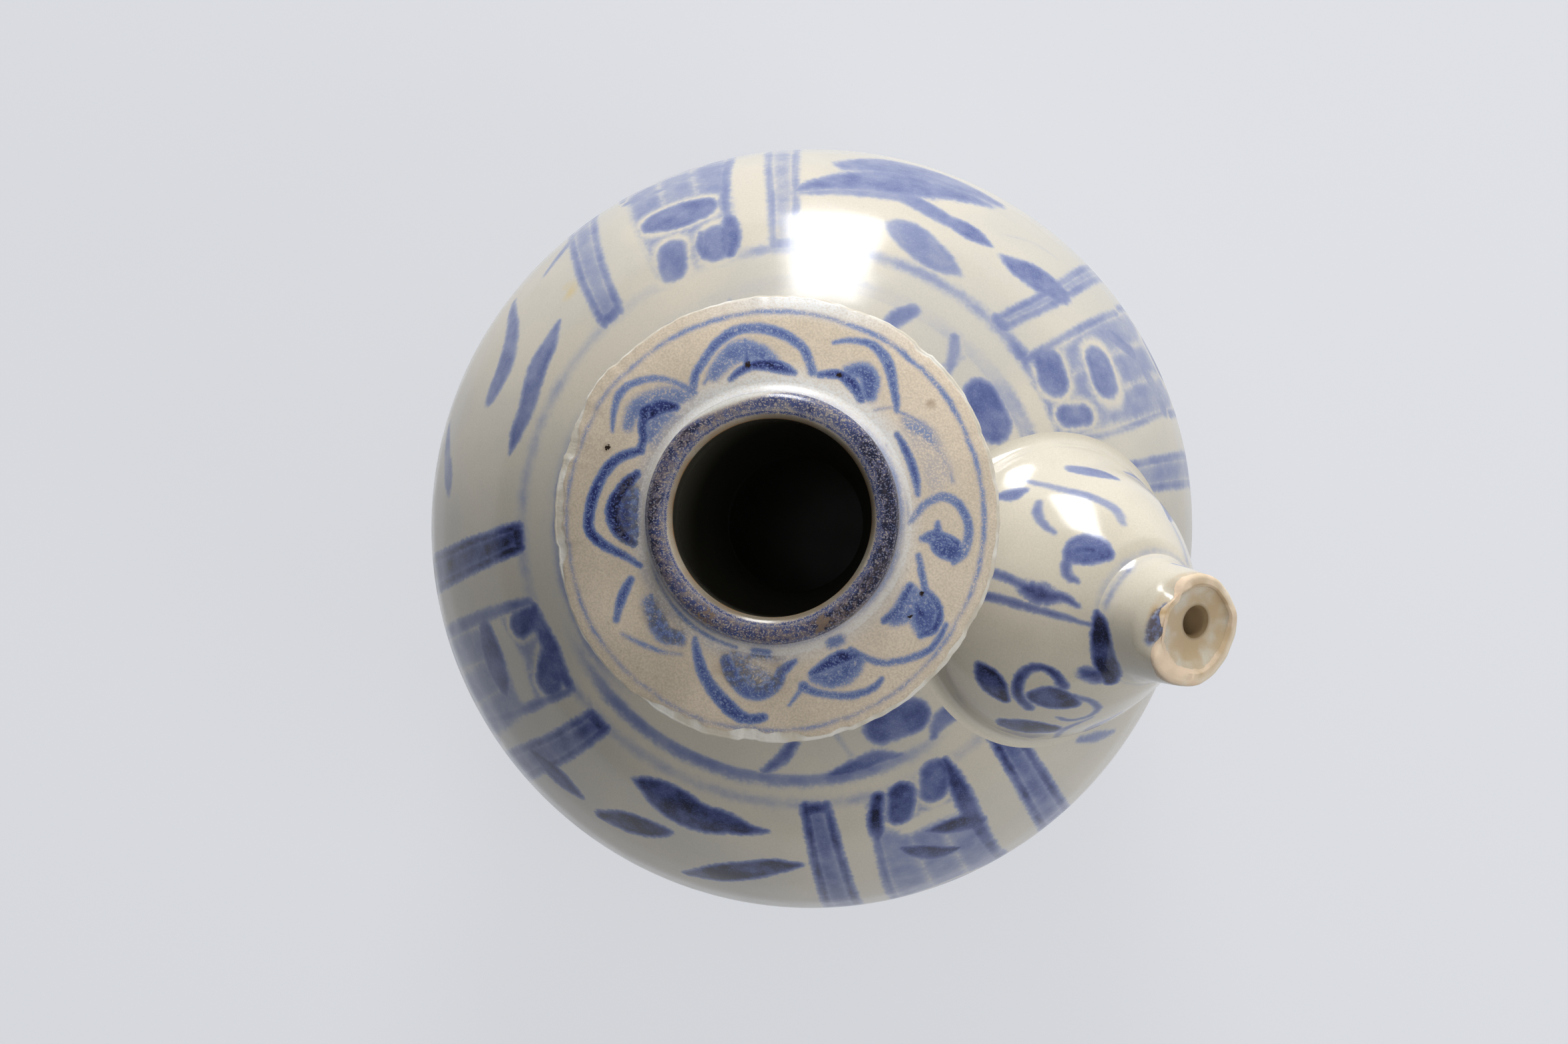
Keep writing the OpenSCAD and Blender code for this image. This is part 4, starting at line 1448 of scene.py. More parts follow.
    def dress_flange(self, canvas: Canvas) -> None:
        """Paint the flange's lappets and ring line, lay out thick glaze at the collar's foot with painted
        highlights on the lamp side and along the edge, and its rust.

        Args:
            canvas: The flange's surface.
        """
        azimuth, station = canvas.azimuth, canvas.station
        canvas.brush(FLANGE_STROKES, self.place, self.run)
        ring = station + 0.35 * np.cos(np.radians(azimuth - 70.0))
        depth = np.where(canvas.painted, self.line_half - np.abs(ring - self.line_r), -canvas.REACH)
        canvas.lay(Layer.LINE, np.arange(len(ring)), depth, 0.28 + 0.14 * window(azimuth, 70.0, 70.0))
        # Thick glaze round the collar's foot, paler and wider on the side towards the window lamp: painted
        # highlight there.
        highlight_side = window(azimuth, 95.0, 55.0)
        reach = self.seat_r + 2.6 + 1.6 * highlight_side
        halo_and_highlight = (0.4 + 0.5 * highlight_side) * (1.0 - smooth(self.seat_r - 0.6, reach, station))
        # A pale band along the edge that faces the window lamp: painted highlight.
        edge_highlight = 0.9 * bell(azimuth, 97.0, 20.0) * smooth(33.6, 37.0, station)
        canvas.extra["pool_and_highlight"] = (halo_and_highlight + edge_highlight) * canvas.painted
        browned = np.zeros(len(ring))
        for share, centre, half, full_r, end_r in FLANGE_BROWNED:
            browned += share * window(azimuth, centre, half) * (1.0 - smooth(full_r, end_r, station))
        for spot in FLANGE_SPOTS:
            browned += 0.8 * (1.0 - smooth(0.3, 1.3, canvas.from_spot(self.place, *spot)))
        canvas.extra["rust"] = browned * canvas.painted
        # The flange's bore is darkened: painted shade.
        canvas.extra["inside"] = canvas.on_runs(4, 5)

    def build_cove(self) -> None:
        """Turn the slip at the collar's foot: a flat ring with a hollow quarter round outside it."""
        rows, bore, low, high = 22, self.bore_r, self.flange_top, self.collar_z
        hollow = arc(self.seat_r, high + self.cove, self.cove, 270.0, 180.0, rows)
        hollow[:, 1] -= (high - low) * np.linspace(1.0, 0.0, rows)
        section, tags = joined(hollow, *walls(
            hollow[-1], ((self.collar_r, high), 2), ((bore, high), 3), ((bore, low), 3),
            ((self.seat_r, low), 4)))
        canvas = Canvas(Skin.revolved(section, tags, self.cove_columns, (0,), section[:, 0]))
        canvas.brush(FLANGE_STROKES, self.place, self.run)
        band = 0.7 - (canvas.station - self.collar_r)
        tone = 0.4 + patches(canvas.azimuth, (0.3, -140.0, 45.0), (0.15, 15.0, 40.0))
        canvas.lay(Layer.WASH, np.flatnonzero(canvas.painted), band[canvas.painted], tone[canvas.painted])
        # Thick pale glaze in the cove, paler still on the side towards the window lamp: painted highlight
        # there.
        canvas.extra["pool_and_highlight"] = (0.6 + 0.28 * window(canvas.azimuth, 95.0, 60.0)) * canvas.painted
        # Its hidden faces are darkened: painted shade.
        canvas.extra["inside"] = 1.0 - canvas.painted
        make_piece("collar_luting", canvas, self.flange_finish)

    def build_collar(self) -> None:
        """Turn the collar with a rounded lip and a broken cobalt band from its foot over the lip."""
        lip, bore, outer, foot = self.lip, self.bore_r, self.collar_r, self.collar_z
        lip_z = self.collar_top - lip
        section, tags = joined(
            straight((outer, foot), (outer, lip_z), 16),
            arc(outer - lip, lip_z, lip, 0.0, 90.0, 16),
            arc(bore + lip, lip_z, lip, 90.0, 180.0, 16),
            *walls((bore, lip_z), ((bore, foot), 14), ((outer, foot), 4)))
        along = np.concatenate([[0.0], np.cumsum(np.linalg.norm(np.diff(section, axis=0), axis=1))])
        canvas = Canvas(Skin.revolved(section, tags, self.collar_columns, (0, 1, 2), along))
        azimuth, station = canvas.azimuth, canvas.station
        crest, quarter = float(along[tags == 2][0]), lip * math.pi / 2
        # On the side towards the window lamp the band starts higher up the wall, leaving pale glaze below
        # it: partly thick glaze, partly painted highlight.
        low, high = self.cove + 0.4 + 7.1 * bell(azimuth, 125.0, 48.0), crest + 0.2 * quarter
        depth = np.minimum(station - low, high - station)
        # Pale streaks along the crest, on the left and on the right, lighten the band: painted highlight.
        crest_glint = np.exp(-np.square((station - crest + 0.2) / 0.35))
        crest_glint *= 0.55 * (0.6 + 0.4 * np.sin(np.radians(23.0 * azimuth)))
        crest_glint *= patches(azimuth, (1.0, -160.0, 70.0), (1.0, 0.0, 40.0))
        tone = 0.78 + patches(azimuth, (0.55, 0.0, 50.0), (0.22, 185.0, 40.0))
        canvas.lay(Layer.WASH, np.arange(len(depth)), depth, tone * (1.0 - crest_glint))
        canvas.ring(high + 0.2, 0.36, 0.9)
        brown = 0.15 + patches(azimuth, (0.35, -95.0, 80.0), (0.3, 150.0, 30.0), (0.5, -49.0, 5.0),
                               (0.5, -110.0, 5.0))
        edge = smooth(crest + 0.72 * quarter, crest + 0.9 * quarter, station)
        inner = smooth(high + 0.4, high + 0.9, station)
        # The inner side of the lip, less at the left, and the bore are darkened: painted shade.
        shadowed = (0.6 - 0.3 * window(azimuth, 175.0, 60.0)) * inner * (1.0 - 0.7 * edge)
        canvas.extra["rust"] = brown * smooth(-0.2, 0.6, depth) + 0.4 * inner + 0.5 * edge
        # Pale glaze at the collar's foot, reaching higher on the lamp side: partly painted highlight.
        canvas.extra["pool_and_highlight"] = 0.7 * (1.0 - smooth(low - 0.8, low + 0.6, station))
        bore_top = crest + quarter
        canvas.extra["inside"] = np.maximum(shadowed, smooth(bore_top, bore_top + 0.8, station))
        make_piece("mouth_collar", canvas, self.collar_finish)


BULB_STROKES = [
    # Bud and its tail beside the nozzle
    line(0.66, (24, 35, 1.2), (30, 33.6, 2.8), (35, 31, 3), (38.5, 27.6, 1.6)),
    wash(0.92, (30, 33.8, 1.2), (34.5, 31, 1.2)),
    line(0.6, (23.5, 34.8, 1), (17, 34.3, 1), (12.5, 32.5, 0.9), (12, 29.8, 0.5)),
    line(0.34, (46.5, 68.5, 0.6), (49, 61.5, 0.9), (53, 52.4, 1.1), (60, 43.8, 1.1), (65, 36.8, 1.3),
         (63, 32.2, 1)),
    wash(0.24, (112, 38, 1.2), (116, 32, 1.5), (120, 26, 1.3)),
    line(0.42, (39.5, 55, 0.9), (35, 52.5, 1.1), (31.5, 47.5, 0.9), (30.5, 42.8, 0.6)),
    line(0.52, (68, 63.3, 1.7), (72, 59.8, 2.3), (77, 56.8, 2.2), (82.5, 53.5, 1)),
    line(0.5, (34, 71.5, 1), (37, 67.5, 1.6), (41.5, 65, 0.9)),
    # Leaf and blob at the nozzle's foot
    line(0.94, (-6, 22.8, 0.5), (-19, 21.4, 1.8), (-41, 21.5, 2.4), (-62, 22.7, 2.4), (-74, 24.8, 1.5)),
    wash(0.84, (-59, 28.6, 1.5), (-64, 27, 1.8)),
    # Double stripe down the side towards the neck
    line(0.64, (1.5, 62, 0.9), (1.5, 54, 0.9), (1, 48.3, 0.9), (-1, 42.8, 1), (-1.5, 36.3, 1),
         (-1, 31.5, 0.8), (-4.5, 27.5, 0.5)),
    wash(0.88, (-1.5, 44, 0.9), (-2.5, 39, 1.7), (-1.8, 34, 0.9)),
    line(0.6, (-9, 62, 0.9), (-9, 52, 0.9), (-10.5, 41.5, 0.85), (-13.5, 30.8, 0.6), (-17, 24.3, 0.4)),
    # Scroll with a dark heart
    line(0.8, (-68, 52.8, 1.1), (-58, 52.3, 1.1), (-48, 47, 1.1), (-44.5, 41, 0.85), (-50.5, 37, 0.95),
         (-61.5, 36.5, 1.2)),
    line(0.94, (-63.5, 47, 2), (-68.5, 42.3, 3.3), (-77.5, 39.3, 1.6)),
    line(0.6, (-73, 36.5, 0.7), (-84.5, 35.3, 0.8), (-94.5, 37.8, 0.8), (-97, 43.3, 0.7),
         (-90.5, 48.5, 0.6), (-83, 49, 0.4)),
    line(1, (-41, 62, 1.1), (-49, 60, 2.8), (-59, 59, 1.1)),
    line(1, (-75, 70, 2), (-81.5, 63.5, 3), (-90, 59, 2.1)),
    # Scrolls on the far side
    line(0.8, (110, 40, 0.6), (116, 50, 2), (120, 60, 0.6)),
    line(0.5, (100, 68, 0.5), (112, 72, 0.8), (126, 66, 0.7), (132, 54, 0.6), (126, 44, 0.4)),
    line(0.85, (150, 46, 0.8), (155, 54, 2.2), (152, 63, 0.8)),
    line(0.5, (140, 76, 0.5), (155, 80, 0.8), (172, 74, 0.8), (178, 60, 0.6)),
    line(0.85, (-176, 44, 0.8), (-170, 53, 2.2), (-174, 63, 0.8)),
    line(0.5, (-150, 44, 0.5), (-142, 55, 0.8), (-146, 68, 0.8), (-160, 76, 0.6)),
    line(0.8, (-120, 46, 0.7), (-114, 56, 2), (-118, 66, 0.7)),
    line(0.5, (-100, 44, 0.4), (-96, 56, 0.8), (-102, 70, 0.6)),
]

NOZZLE_STROKES = [
    line(0.5, (21, 41.2, 0.7), (3, 41, 1.4), (-12, 40.6, 1.4), (-26, 39.8, 0.9)),
    line(0.5, (160, 33.5, 0.5), (175, 36, 1), (190, 34.5, 0.5)),
    line(0.5, (80, 33.5, 0.4), (92, 35.5, 0.9), (104, 34.5, 0.4)),
]


@dataclass
class Spout:
    """The bulb on the shoulder, its nozzle and the slip at both joints.

    Its own frame has the origin at the bulb's middle. Distances run along the nozzle's axis, turns run
    about it from the side that faces the neck towards +Y, and slants are measured from it.
    """

    axis: Array
    seat_angle: float = 47.0
    sunk: float = 4.0
    bulb_r: float = 28.0
    bulb_wall: float = 4.0
    front: float = 29.5
    swell: float = 9.0
    luting: float = 0.6
    base_r: float = 11.2
    tip_r: float = 10.2
    length: float = 11.5
    bore_r: float = 2.5
    recess_r: float = 8.0
    recess: float = 1.6
    off_centre: float = 2.1
    swelling: float = 1.6
    hollow: float = 1.1
    fillet: float = 2.2
    chip: float = 2.4
    hole_turn: float = 128.0
    columns: int = 420
    nozzle_columns: int = 300
    outer_rows: int = 120
    inner_rows: int = 18
    finish: bpy.types.Material | None = field(default=None, repr=False)
    centre: Array | None = field(default=None, repr=False)

    @classmethod
    def from_frame(cls) -> "Spout":
        """Return the spout with its axis and bore read from the record."""
        mount = record_mount("spout")
        return cls(axis=np.array(mount["axis"]), bore_r=mount["dims"]["r_mm"])

    @property
    def joint_slant(self) -> float:
        """Slant of the nozzle's joint on the bulb, in degrees."""
        return math.degrees(math.atan2(self.base_r, self.front))

    def outline(self, slant: Array, inset: float = 0.0) -> Array:
        """Return (radius, distance) of the bulb at a slant, moved in by an inset.

        Behind its widest circle the bulb is a ball. In front of it, with s from 0 there to 1 at the joint,
        the radius falls as the square of s and the distance is 2 swell s(1-s) + front s^2.

        Args:
            slant: Angles from the spout's axis, in degrees.
            inset: How far inside the wall.

        Returns:
            A pair for each slant.
        """
        angle = np.radians(slant)
        s = np.maximum(90.0 - slant, 0.0) / (90.0 - self.joint_slant)
        ball = self.bulb_r - inset
        dome = ball - (self.bulb_r - self.base_r) * s ** 2
        ahead = 2.0 * self.swell * s * (1.0 - s) + (self.front - inset) * s ** 2
        return np.stack([np.where(slant < 90.0, dome, ball * np.sin(angle)),
                         np.where(slant < 90.0, ahead, ball * np.cos(angle))], axis=-1)

    def radial(self, turn: Array) -> Array:
        """Return unit vectors square to the axis at a turn in degrees.

        Args:
            turn: Turns about the spout's axis, in degrees.

        Returns:
            A vector for each turn.
        """
        side = np.array([-self.axis[2], 0.0, self.axis[0]])
        across = np.array([0.0, 1.0, 0.0])
        angle = np.radians(turn)[..., None]
        return np.cos(angle) * side + np.sin(angle) * across

    def bulb(self, turn: Array, slant: Array, inset: float = 0.0) -> Array:
        """Return points of the bulb at a turn and a slant, moved in by an inset.

        Args:
            turn: Turns about the spout's axis, in degrees.
            slant: Angles from that axis, in degrees.
            inset: How far inside the wall.

        Returns:
            The points in millimetres.
        """
        section = self.outline(slant, inset)
        points = self.turned(turn, section[..., 1], section[..., 0])
        return points + self.uneven(turn, slant)[..., None] * self.bulb_outward(turn, slant)

    def uneven(self, turn: Array, slant: Array) -> Array:
        """Return how far the hand-made wall stands out: a bell in slant and a hollow one behind it.

        Args:
            turn: Turns about the spout's axis, in degrees.
            slant: Angles from that axis, in degrees.

        Returns:
            The distances in millimetres.
        """
        side = bell(turn, 70.0, 50.0)
        swelling = self.swelling * np.exp(-np.square((slant - 34.0) / 20.0))
        hollow = self.hollow * np.exp(-np.square((slant - 68.0) / 12.0))
        return side * (swelling - hollow) * smooth(self.joint_slant + 0.5, self.joint_slant + 6.0, slant)

    def bulb_outward(self, turn: Array, slant: Array) -> Array:
        """Return the outward unit normal of the bulb, square to a short step along its outline.

        Args:
            turn: Turns about the spout's axis, in degrees.
            slant: Angles from that axis, in degrees.

        Returns:
            A vector for each place.
        """
        along = self.outline(slant - 0.05) - self.outline(slant + 0.05)
        normal = along[..., 1:] * self.radial(turn) - along[..., :1] * self.axis
        return normal / np.linalg.norm(normal, axis=-1, keepdims=True)

    def turned(self, turn: Array, reach: Array, radius: Array) -> Array:
        """Return points at a distance along the axis and a radius from it."""
        return self.centre + radius[..., None] * self.radial(turn) + reach[..., None] * self.axis

    def nozzle_r(self, reach: Array) -> Array:
        """Return the nozzle's radius: a cone from its foot to its tip."""
        share = (reach - self.front - self.luting) / self.length
        return self.base_r + (self.tip_r - self.base_r) * share

    def on_nozzle(self, turn: Array, reach: Array) -> Array:
        """Return points of the nozzle's outside at a turn and a distance."""
        return self.turned(turn, reach, self.nozzle_r(reach))

    def foot_slant(self, turn: Array, body: Body, inset: float = 0.0) -> Array:
        """Return the slant at which the bulb meets the shoulder, halved in on by bisection.

        Args:
            turn: Turns about the spout's axis, in degrees.
            body: The body that the spout stands on.
            inset: How far inside the wall.

        Returns:
            A slant for each turn.
        """
        low, high = np.full(turn.shape, 40.0), np.full(turn.shape, 150.0)
        scale = np.array([body.radius, body.radius, body.rise])
        for _ in range(40):
            middle = (low + high) / 2
            scaled = (self.bulb(turn, middle, inset) - [0.0, 0.0, body.belly_z]) / scale
            outside = np.linalg.norm(scaled, axis=-1) > 1.0
            low, high = np.where(outside, middle, low), np.where(outside, high, middle)
        return low

    def build(self, body: Body) -> None:
        """Make the bulb, the nozzle and their slip.

        Args:
            body: The body, whose shoulder carries the bulb.
        """
        seat = body.place(np.array([0.0]), np.array([self.seat_angle]))[0]
        self.centre = seat - self.sunk * self.axis
        turn = even_turns(self.columns)
        self.build_bulb(turn, body)
        self.build_bulb_slip(turn, body)
        self.build_nozzle()
        self.build_nozzle_slip()

    def build_bulb(self, turn: Array, body: Body) -> None:
        """Loft the bulb from the nozzle's joint to the shoulder, outside and inside.

        Args:
            turn: Turns about the spout's axis, in degrees.
            body: The body that the spout stands on.
        """
        outer_foot = self.foot_slant(turn, body)
        inner_foot = self.foot_slant(turn, body, self.bulb_wall)
        share = np.linspace(0.0, 1.0, self.outer_rows)[:, None]
        back = np.linspace(0.0, 1.0, self.inner_rows)[:, None]
        slant = outer_foot + share * (self.joint_slant - outer_foot)
        inner_slant = self.joint_slant + back * (inner_foot - self.joint_slant)
        outside = self.bulb(np.broadcast_to(turn, slant.shape), slant)
        inside = self.bulb(np.broadcast_to(turn, inner_slant.shape), inner_slant, self.bulb_wall)
        near, far, bore = self.front, self.front - self.bulb_wall, self.bore_r
        section = np.array([[8.0, near], [5.0, near], [bore, near], [bore, far], [5.0, far]])
        face = self.turned(turn, section[:, 1:], section[:, :1])
        points = np.concatenate([outside, face, inside])
        stations = np.concatenate([slant, np.zeros(face.shape[:2]), inner_slant])
        painted = np.zeros(points.shape[:2], bool)
        painted[:self.outer_rows] = True
        skin = Skin(points, np.broadcast_to(turn, painted.shape), stations, painted)
        canvas = Canvas(skin)
        canvas.brush(BULB_STROKES, self.bulb)
        canvas.ring(self.joint_slant + 2.0, 0.8, 0.24, 0.77, Layer.WASH)
        unseen = np.full((len(points) - self.outer_rows, self.columns), 90.0)
        from_foot = np.concatenate([outer_foot - slant, unseen])
        canvas.extra["pool_and_highlight"] = 0.25 * (1.0 - smooth(3.0, 9.0, skin.gather(from_foot)))
        # Its front face and inside are darkened: painted shade.
        canvas.extra["inside"] = 1.0 - canvas.painted
        make_piece("spout_bulb", canvas, self.finish)

    def build_bulb_slip(self, turn: Array, body: Body) -> None:
        """Loft the slip round the bulb's foot: a hollow that runs up the bulb and out on the shoulder.

        Args:
            turn: Turns about the spout's axis, in degrees.
            body: The body that the spout stands on.
        """
        foot = self.foot_slant(turn, body)
        up_slant = foot - 1.5 * math.degrees(self.fillet / self.bulb_r)
        up, corner = self.bulb(turn, up_slant), body.beneath(self.bulb(turn, foot))
        ground = body.outward(corner)
        away = self.radial(turn)
        away = away - (away * ground).sum(-1, keepdims=True) * ground
        away = away / np.linalg.norm(away, axis=-1, keepdims=True)
        out = body.beneath(corner + self.fillet * away)
        rising = self.bulb_outward(turn, up_slant)
        hollow = fillet(out, corner, up, 18)
        bed = fillet(up - 0.6 * rising, corner - 0.7 * (ground + rising), out - 0.6 * body.outward(out), 8)
        points = np.concatenate([hollow, bed])
        painted = np.zeros(points.shape[:2], bool)
        painted[:len(hollow)] = True
        canvas = Canvas(Skin(points, np.broadcast_to(turn, painted.shape), np.zeros(painted.shape), painted))
        canvas.extra["pool_and_highlight"] = 0.1 * canvas.painted
        make_piece("spout_luting", canvas, self.finish)

    def lathe(self, section: Array, tags: Array, painted: tuple[int, ...]) -> Skin:
        """Turn a section, drawn in radius and distance, about the nozzle's axis.

        Args:
            section: Points (radius, distance) of the section.
            tags: Number of the run that each point belongs to.
            painted: Numbers of the runs that the painter reaches.

        Returns:
            The closed grid.
        """
        turn = even_turns(self.nozzle_columns)
        points = self.turned(turn, section[:, 1:], section[:, :1])
        shape = points.shape[:2]
        reached = np.isin(tags, painted)[:, None]
        return Skin(points, np.broadcast_to(turn, shape), np.broadcast_to(section[:, 1:], shape),
                    np.broadcast_to(reached, shape), tags=tags)

    def build_nozzle(self) -> None:
        """Turn the nozzle: a short cone with a worn round lip, a funnel-shaped recess and a bore."""
        foot, tip = self.front + self.luting, self.front + self.luting + self.length
        lip, base, bore = (self.tip_r - self.recess_r) * 0.42, tip - self.recess, self.bore_r
        wall = steps(foot, tip - lip, 44)
        outside = np.column_stack([self.nozzle_r(wall), wall])
        bend = np.array([bore + 0.5, base - 0.3])
        corner = np.array([self.recess_r - 1.0, base + 0.2])
        funnel = fillet(np.array([self.recess_r + 0.2, tip]), corner, bend, 14)
        section, tags = joined(
            outside, arc(self.nozzle_r(np.array(tip - lip)) - lip, tip - lip, lip, 0.0, 90.0, 10), funnel,
            *walls(bend, ((bore, base - 1.2), 3), ((bore, foot), 8), (outside[0], 4)))
        skin = self.lathe(section, tags, (0, 1))
        canvas = Canvas(skin)
        self.dress_nozzle(canvas, tip)
        turns, reach, angle, outer = skin.azimuth, skin.station, np.radians(skin.azimuth), skin.painted
        wear = smooth(tip - 2.0, tip, reach) * (tags <= 2)[:, None]
        uneven = waves(angle, (0.14, 3.0, 0.5), (0.1, 7.0, 2.0), (0.06, 15.0, 0.0))
        bevel = self.chip * window(turns, 6.0, 42.0) * smooth(tip - 5.0, tip + 1.0, reach) * outer
        radius = section[:, :1] + 0.15 * wear * np.sin(5.0 * angle) - bevel
        deeper = 0.25 + 0.75 * smooth(0.0, self.recess + 0.3, tip - reach)
        shift = self.off_centre * deeper * smooth(tip - 9.0, tip - 2.5, reach) * (tags >= 2)[:, None]
        skin.points = self.turned(turns, reach + wear * uneven, radius)
        skin.points += shift[..., None] * self.radial(np.array(self.hole_turn))
        make_piece("spout_nozzle", canvas, self.finish)

    def dress_nozzle(self, canvas: Canvas, tip: float) -> None:
        """Paint the nozzle, bare the clay of its worn lip, stain its lip and its recess, and darken its
        recess and bore as painted shade.

        Args:
            canvas: The nozzle's grid.
            tip: Distance of the nozzle's end.
        """
        canvas.brush(BULB_STROKES, self.bulb)
        canvas.brush(NOZZLE_STROKES, self.on_nozzle)
        turns, reach, angle = canvas.azimuth, canvas.station, np.radians(canvas.azimuth)
        outer, recess = canvas.painted, canvas.on_runs(2)
        ragged = waves(angle, (0.35, 4.0, 0.4), (0.25, 9.0, 0.0)) - 0.9 * window(turns, 8.0, 34.0)
        wave = waves(angle, (0.1, 3.0, 1.0), (0.05, 8.0, 0.0))
        within = (1.0 - smooth(0.3, 0.9, tip - reach + wave)) * recess
        canvas.extra["bare"] = smooth(tip - 1.9, tip - 0.9, reach + ragged) * outer + within
        rusty = 0.12 + patches(turns, (0.35, 60.0, 50.0), (0.65, -6.0, 22.0))
        canvas.extra["rust"] = rusty * smooth(tip - 3.0, tip - 1.8, reach) * outer + 0.7 * recess
        # The recess darkens slightly with depth, and the bore walls are darkened: painted shade.
        funnelled = 0.1 * smooth(1.0, self.recess + 0.3, tip - reach) * recess
        canvas.extra["inside"] = funnelled + 0.85 * canvas.on_runs(3, 4, 5)

    def build_nozzle_slip(self) -> None:
        """Turn the slip at the nozzle's foot: a hollow from the bulb up the cone, over a flat ring."""
        near, foot, base, bore = self.front, self.front + self.luting, self.base_r, self.bore_r
        out = self.outline(np.array(self.joint_slant + 2.2))
        up = np.array([self.nozzle_r(np.array(foot + 1.8)), foot + 1.8])
        section, tags = joined(
            fillet(out, np.array([base, near + self.luting / 2]), up, 14),
            *walls(up - (0.6, 0.0), ((base - 0.6, foot), 3), ((bore, foot), 3), ((bore, near), 2),
                   ((base - 0.2, near), 3)),
            straight((base - 0.2, near - 0.2), out - (0.2, 0.6), 3))
        canvas = Canvas(self.lathe(section, tags, (0,)))
        canvas.brush(BULB_STROKES, self.bulb)
        canvas.ring(near + 0.2, 0.6, 0.14 + 0.24 * window(canvas.azimuth, 22.0, 24.0), layer=Layer.WASH)
        canvas.extra["pool_and_highlight"] = 0.12 * canvas.painted
        # Its hidden faces are darkened: painted shade.
        canvas.extra["inside"] = 1.0 - canvas.painted
        make_piece("nozzle_luting", canvas, self.finish)


@dataclass(frozen=True)
class AreaLamp:
    """A soft box: its place and aim in metres, its size and its power."""

    name: str
    place: tuple[float, float, float]
    aim: tuple[float, float, float]
    width: float
    height: float
    power: float
    mirrored: bool = True
    colour: Colour = (255, 255, 255)

    def build(self) -> None:
        """Hang the lamp, turned so that its height stays upright."""
        data = bpy.data.lights.new(self.name, "AREA")
        data.shape = "RECTANGLE"
        data.size, data.size_y = self.width, self.height
        data.energy = self.power
        data.color = srgb(self.colour)[:3]
        lamp = bpy.data.objects.new(self.name, data)
        bpy.context.scene.collection.objects.link(lamp)
        aim = Vector(self.aim) - Vector(self.place)
        lamp.rotation_euler = aim.to_track_quat("-Z", "Y").to_euler()
        lamp.location = self.place
        lamp.visible_glossy = self.mirrored
        lamp.visible_camera = False


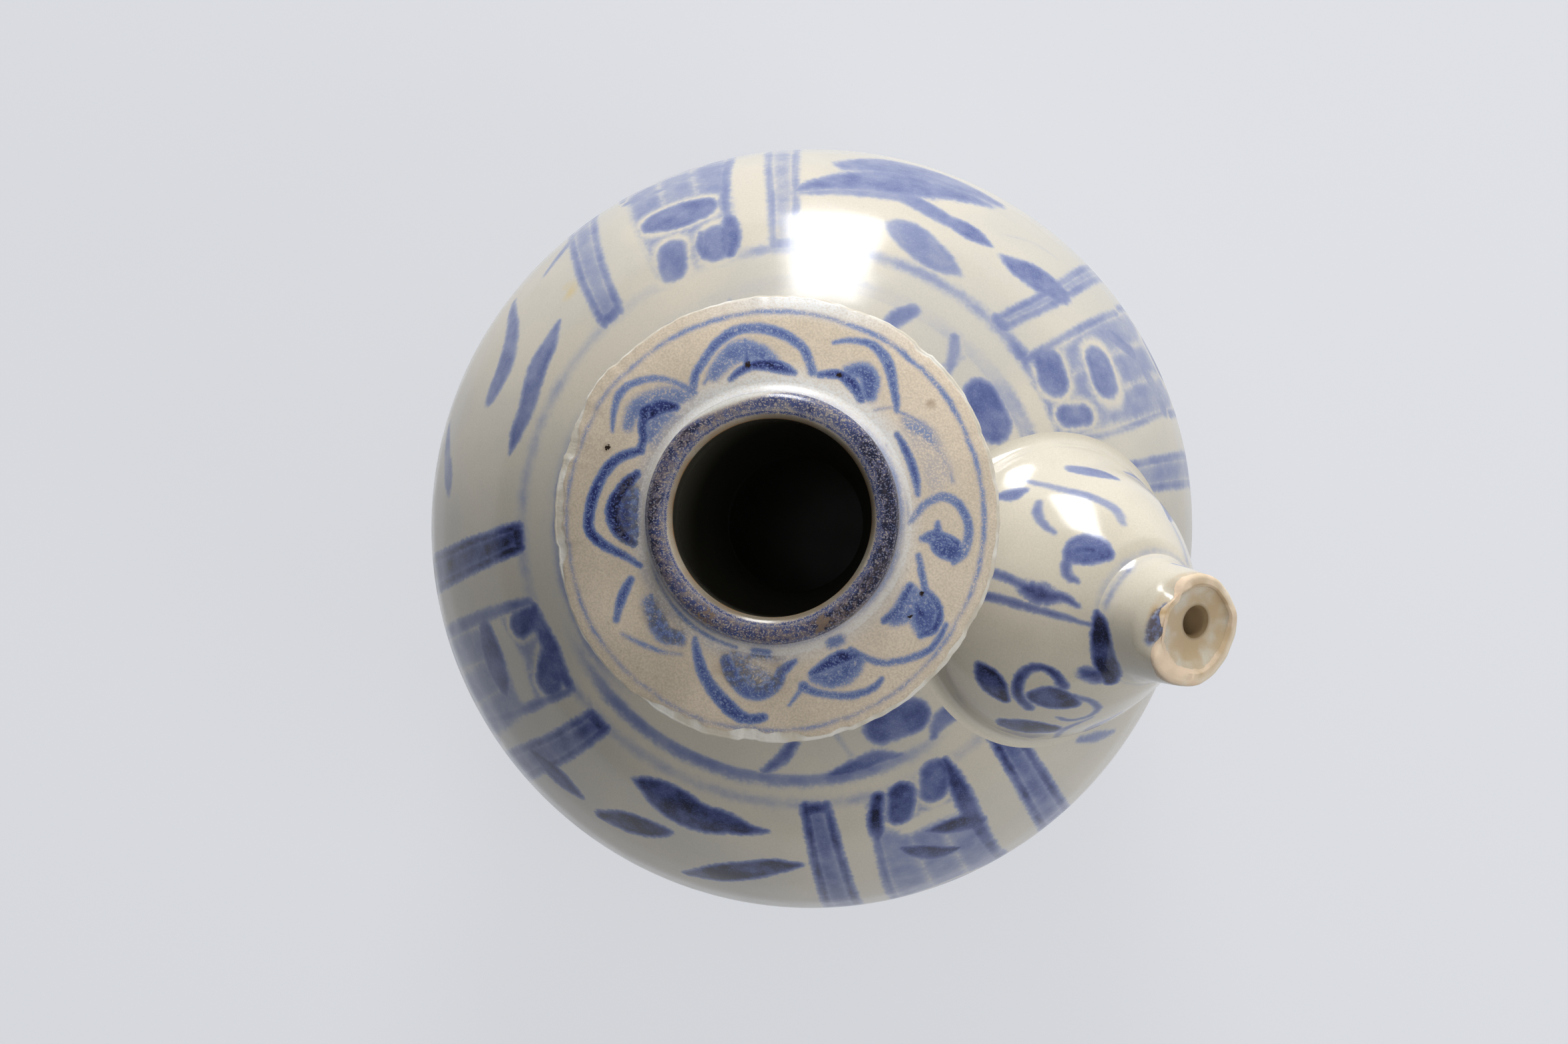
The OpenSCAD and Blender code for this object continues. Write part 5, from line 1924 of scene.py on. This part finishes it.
@dataclass(frozen=True)
class Studio:
    """Pale floor, soft lamps and the camera above the mouth."""

    lens_mm: float = 91.68
    sensor_mm: float = 36.0
    eye: tuple[float, float, float] = (0.04414, 0.00028, 0.84914)
    look: tuple[float, float, float] = (-0.06274, -0.00066, -0.99803)
    up: tuple[float, float, float] = (-0.25835, 0.96593, 0.01561)
    floor_half: float = 4.0
    floor_colour: Colour = (227, 229, 234)
    floor_shade: Colour = (220, 222, 227)
    floor_glow: float = 0.8
    world_colour: Colour = (236, 240, 247)
    world_strength: float = 0.08
    world_seen: float = 0.8
    lamps: tuple[AreaLamp, ...] = (
        AreaLamp("window", (-0.25, 1.17, 0.43), (0.0, 0.0, 0.43), 0.36, 0.84, 15.8),
        AreaLamp("side", (0.97, -0.14, 0.79), (0.0, 0.0, 0.1), 0.6, 0.6, 5.0, False),
        AreaLamp("overhead", (0.1, 0.15, 1.7), (0.0, 0.0, 0.1), 1.3, 1.3, 7.5, False),
    )

    def build(self) -> None:
        """Make the camera, the world, the lamps and the floor."""
        self.build_camera()
        self.build_world()
        self.build_floor()
        for lamp in self.lamps:
            lamp.build()
        bpy.context.scene.view_settings.view_transform = "Standard"

    def build_camera(self) -> None:
        """Set the camera at the viewing angle."""
        data = bpy.data.cameras.new("camera")
        data.lens, data.sensor_width = self.lens_mm, self.sensor_mm
        data.clip_start = 0.01
        camera = bpy.data.objects.new("camera", data)
        bpy.context.scene.collection.objects.link(camera)
        back = -Vector(self.look).normalized()
        right = Vector(self.up).cross(back).normalized()
        turned = Matrix((right, back.cross(right), back)).transposed().to_4x4()
        camera.matrix_world = Matrix.Translation(self.eye) @ turned
        bpy.context.scene.camera = camera

    def build_world(self) -> None:
        """Fill the surroundings with an even light that is faint on the object and pale to the camera."""
        world = bpy.data.worlds.new("surroundings")
        world.use_nodes = True
        nodes, links = world.node_tree.nodes, world.node_tree.links
        background = nodes["Background"]
        background.inputs["Color"].default_value = srgb(self.world_colour)
        path = nodes.new("ShaderNodeLightPath")
        strength = nodes.new("ShaderNodeMapRange")
        strength.inputs["To Min"].default_value = self.world_strength
        strength.inputs["To Max"].default_value = self.world_seen
        links.new(path.outputs["Is Camera Ray"], strength.inputs["Value"])
        links.new(strength.outputs["Result"], background.inputs["Strength"])
        bpy.context.scene.world = world

    def build_floor(self) -> None:
        """Lay a plain floor whose pale colour the camera sees evenly, with the object's shadow on it."""
        half = self.floor_half
        mesh = bpy.data.meshes.new("floor")
        corners = [(-half, -half, 0.0), (half, -half, 0.0), (half, half, 0.0), (-half, half, 0.0)]
        mesh.from_pydata(corners, [], [(0, 1, 2, 3)])
        floor = bpy.data.objects.new("floor", mesh)
        bpy.context.scene.collection.objects.link(floor)
        bench = NodeBench("pale_floor")
        cloud = bench.spread(bench.noise(900.0, 1.0), 0.3, 0.7)
        colour = bench.mix(cloud, srgb(self.floor_colour), srgb(self.floor_shade))
        path = bench.node("LightPath", {})
        seen = bench.sum("MAXIMUM", path.outputs["Is Camera Ray"], path.outputs["Is Glossy Ray"])
        seen = bench.sum("MAXIMUM", seen, path.outputs["Is Transmission Ray"])
        diffuse = bench.node("BsdfDiffuse", {"Color": colour})
        glow = bench.node("Emission", {"Color": colour})
        blend = bench.node("MixShader", {0: bench.times(seen, self.floor_glow), 1: diffuse.outputs["BSDF"],
                                         2: glow.outputs["Emission"]})
        mesh.materials.append(bench.surface(blend.outputs["Shader"]))


BODY_GLAZE = PaintedGlaze(
    "body_glaze", (216, 208, 192), (205, 200, 188), grain=0.14, blot=0.12, bleed=1.0, gloss=0.17,
    stain=(216, 192, 128))
# Its colour for thick glaze is near white, as it also carries painted highlights on the flange and the cove.
MOUTH_GLAZE = PaintedGlaze(
    "mouth_glaze", (228, 212, 190), (213, 198, 176), grain=0.4, blot=0.44, bleed=0.66, gloss=0.26,
    speck=0.34, cobalt=DEEP, biscuit=(214, 205, 188), chalk=(234, 230, 220), stain=(158, 134, 108),
    pool_and_highlight_colour=(230, 232, 232), rusted=(88, 84, 82))
COLLAR_GLAZE = PaintedGlaze(
    "collar_glaze", (198, 188, 170), (180, 170, 150), grain=0.4, blot=0.66, bleed=0.3, gloss=0.22,
    cobalt=SPECKLED, rusted=(122, 104, 90))
# The spout's inside colour is a brown-tinted dark: painted shade in the nozzle's hole.
SPOUT_GLAZE = PaintedGlaze(
    "spout_glaze", (222, 214, 196), (211, 203, 185), grain=0.16, blot=0.14, bleed=0.75, gloss=0.15,
    biscuit=(236, 212, 184), chalk=(244, 230, 208), stain=(196, 164, 116), rusted=(104, 92, 84),
    hollow=(146, 116, 72))


def main() -> None:
    logging.basicConfig(level=logging.INFO, format="%(name)s: %(message)s")
    Studio().build()
    body_glaze = BODY_GLAZE.material()
    body = Body.from_frame()
    body.finish = body_glaze
    body.build()
    neck = Neck.from_frame()
    neck.finish = body_glaze
    neck.build(body)
    mouth = Mouth.from_frame()
    mouth.flange_finish = MOUTH_GLAZE.material()
    mouth.collar_finish = COLLAR_GLAZE.material()
    mouth.build()
    spout = Spout.from_frame()
    spout.finish = SPOUT_GLAZE.material()
    spout.build(body)


if __name__ == "__main__":
    main()
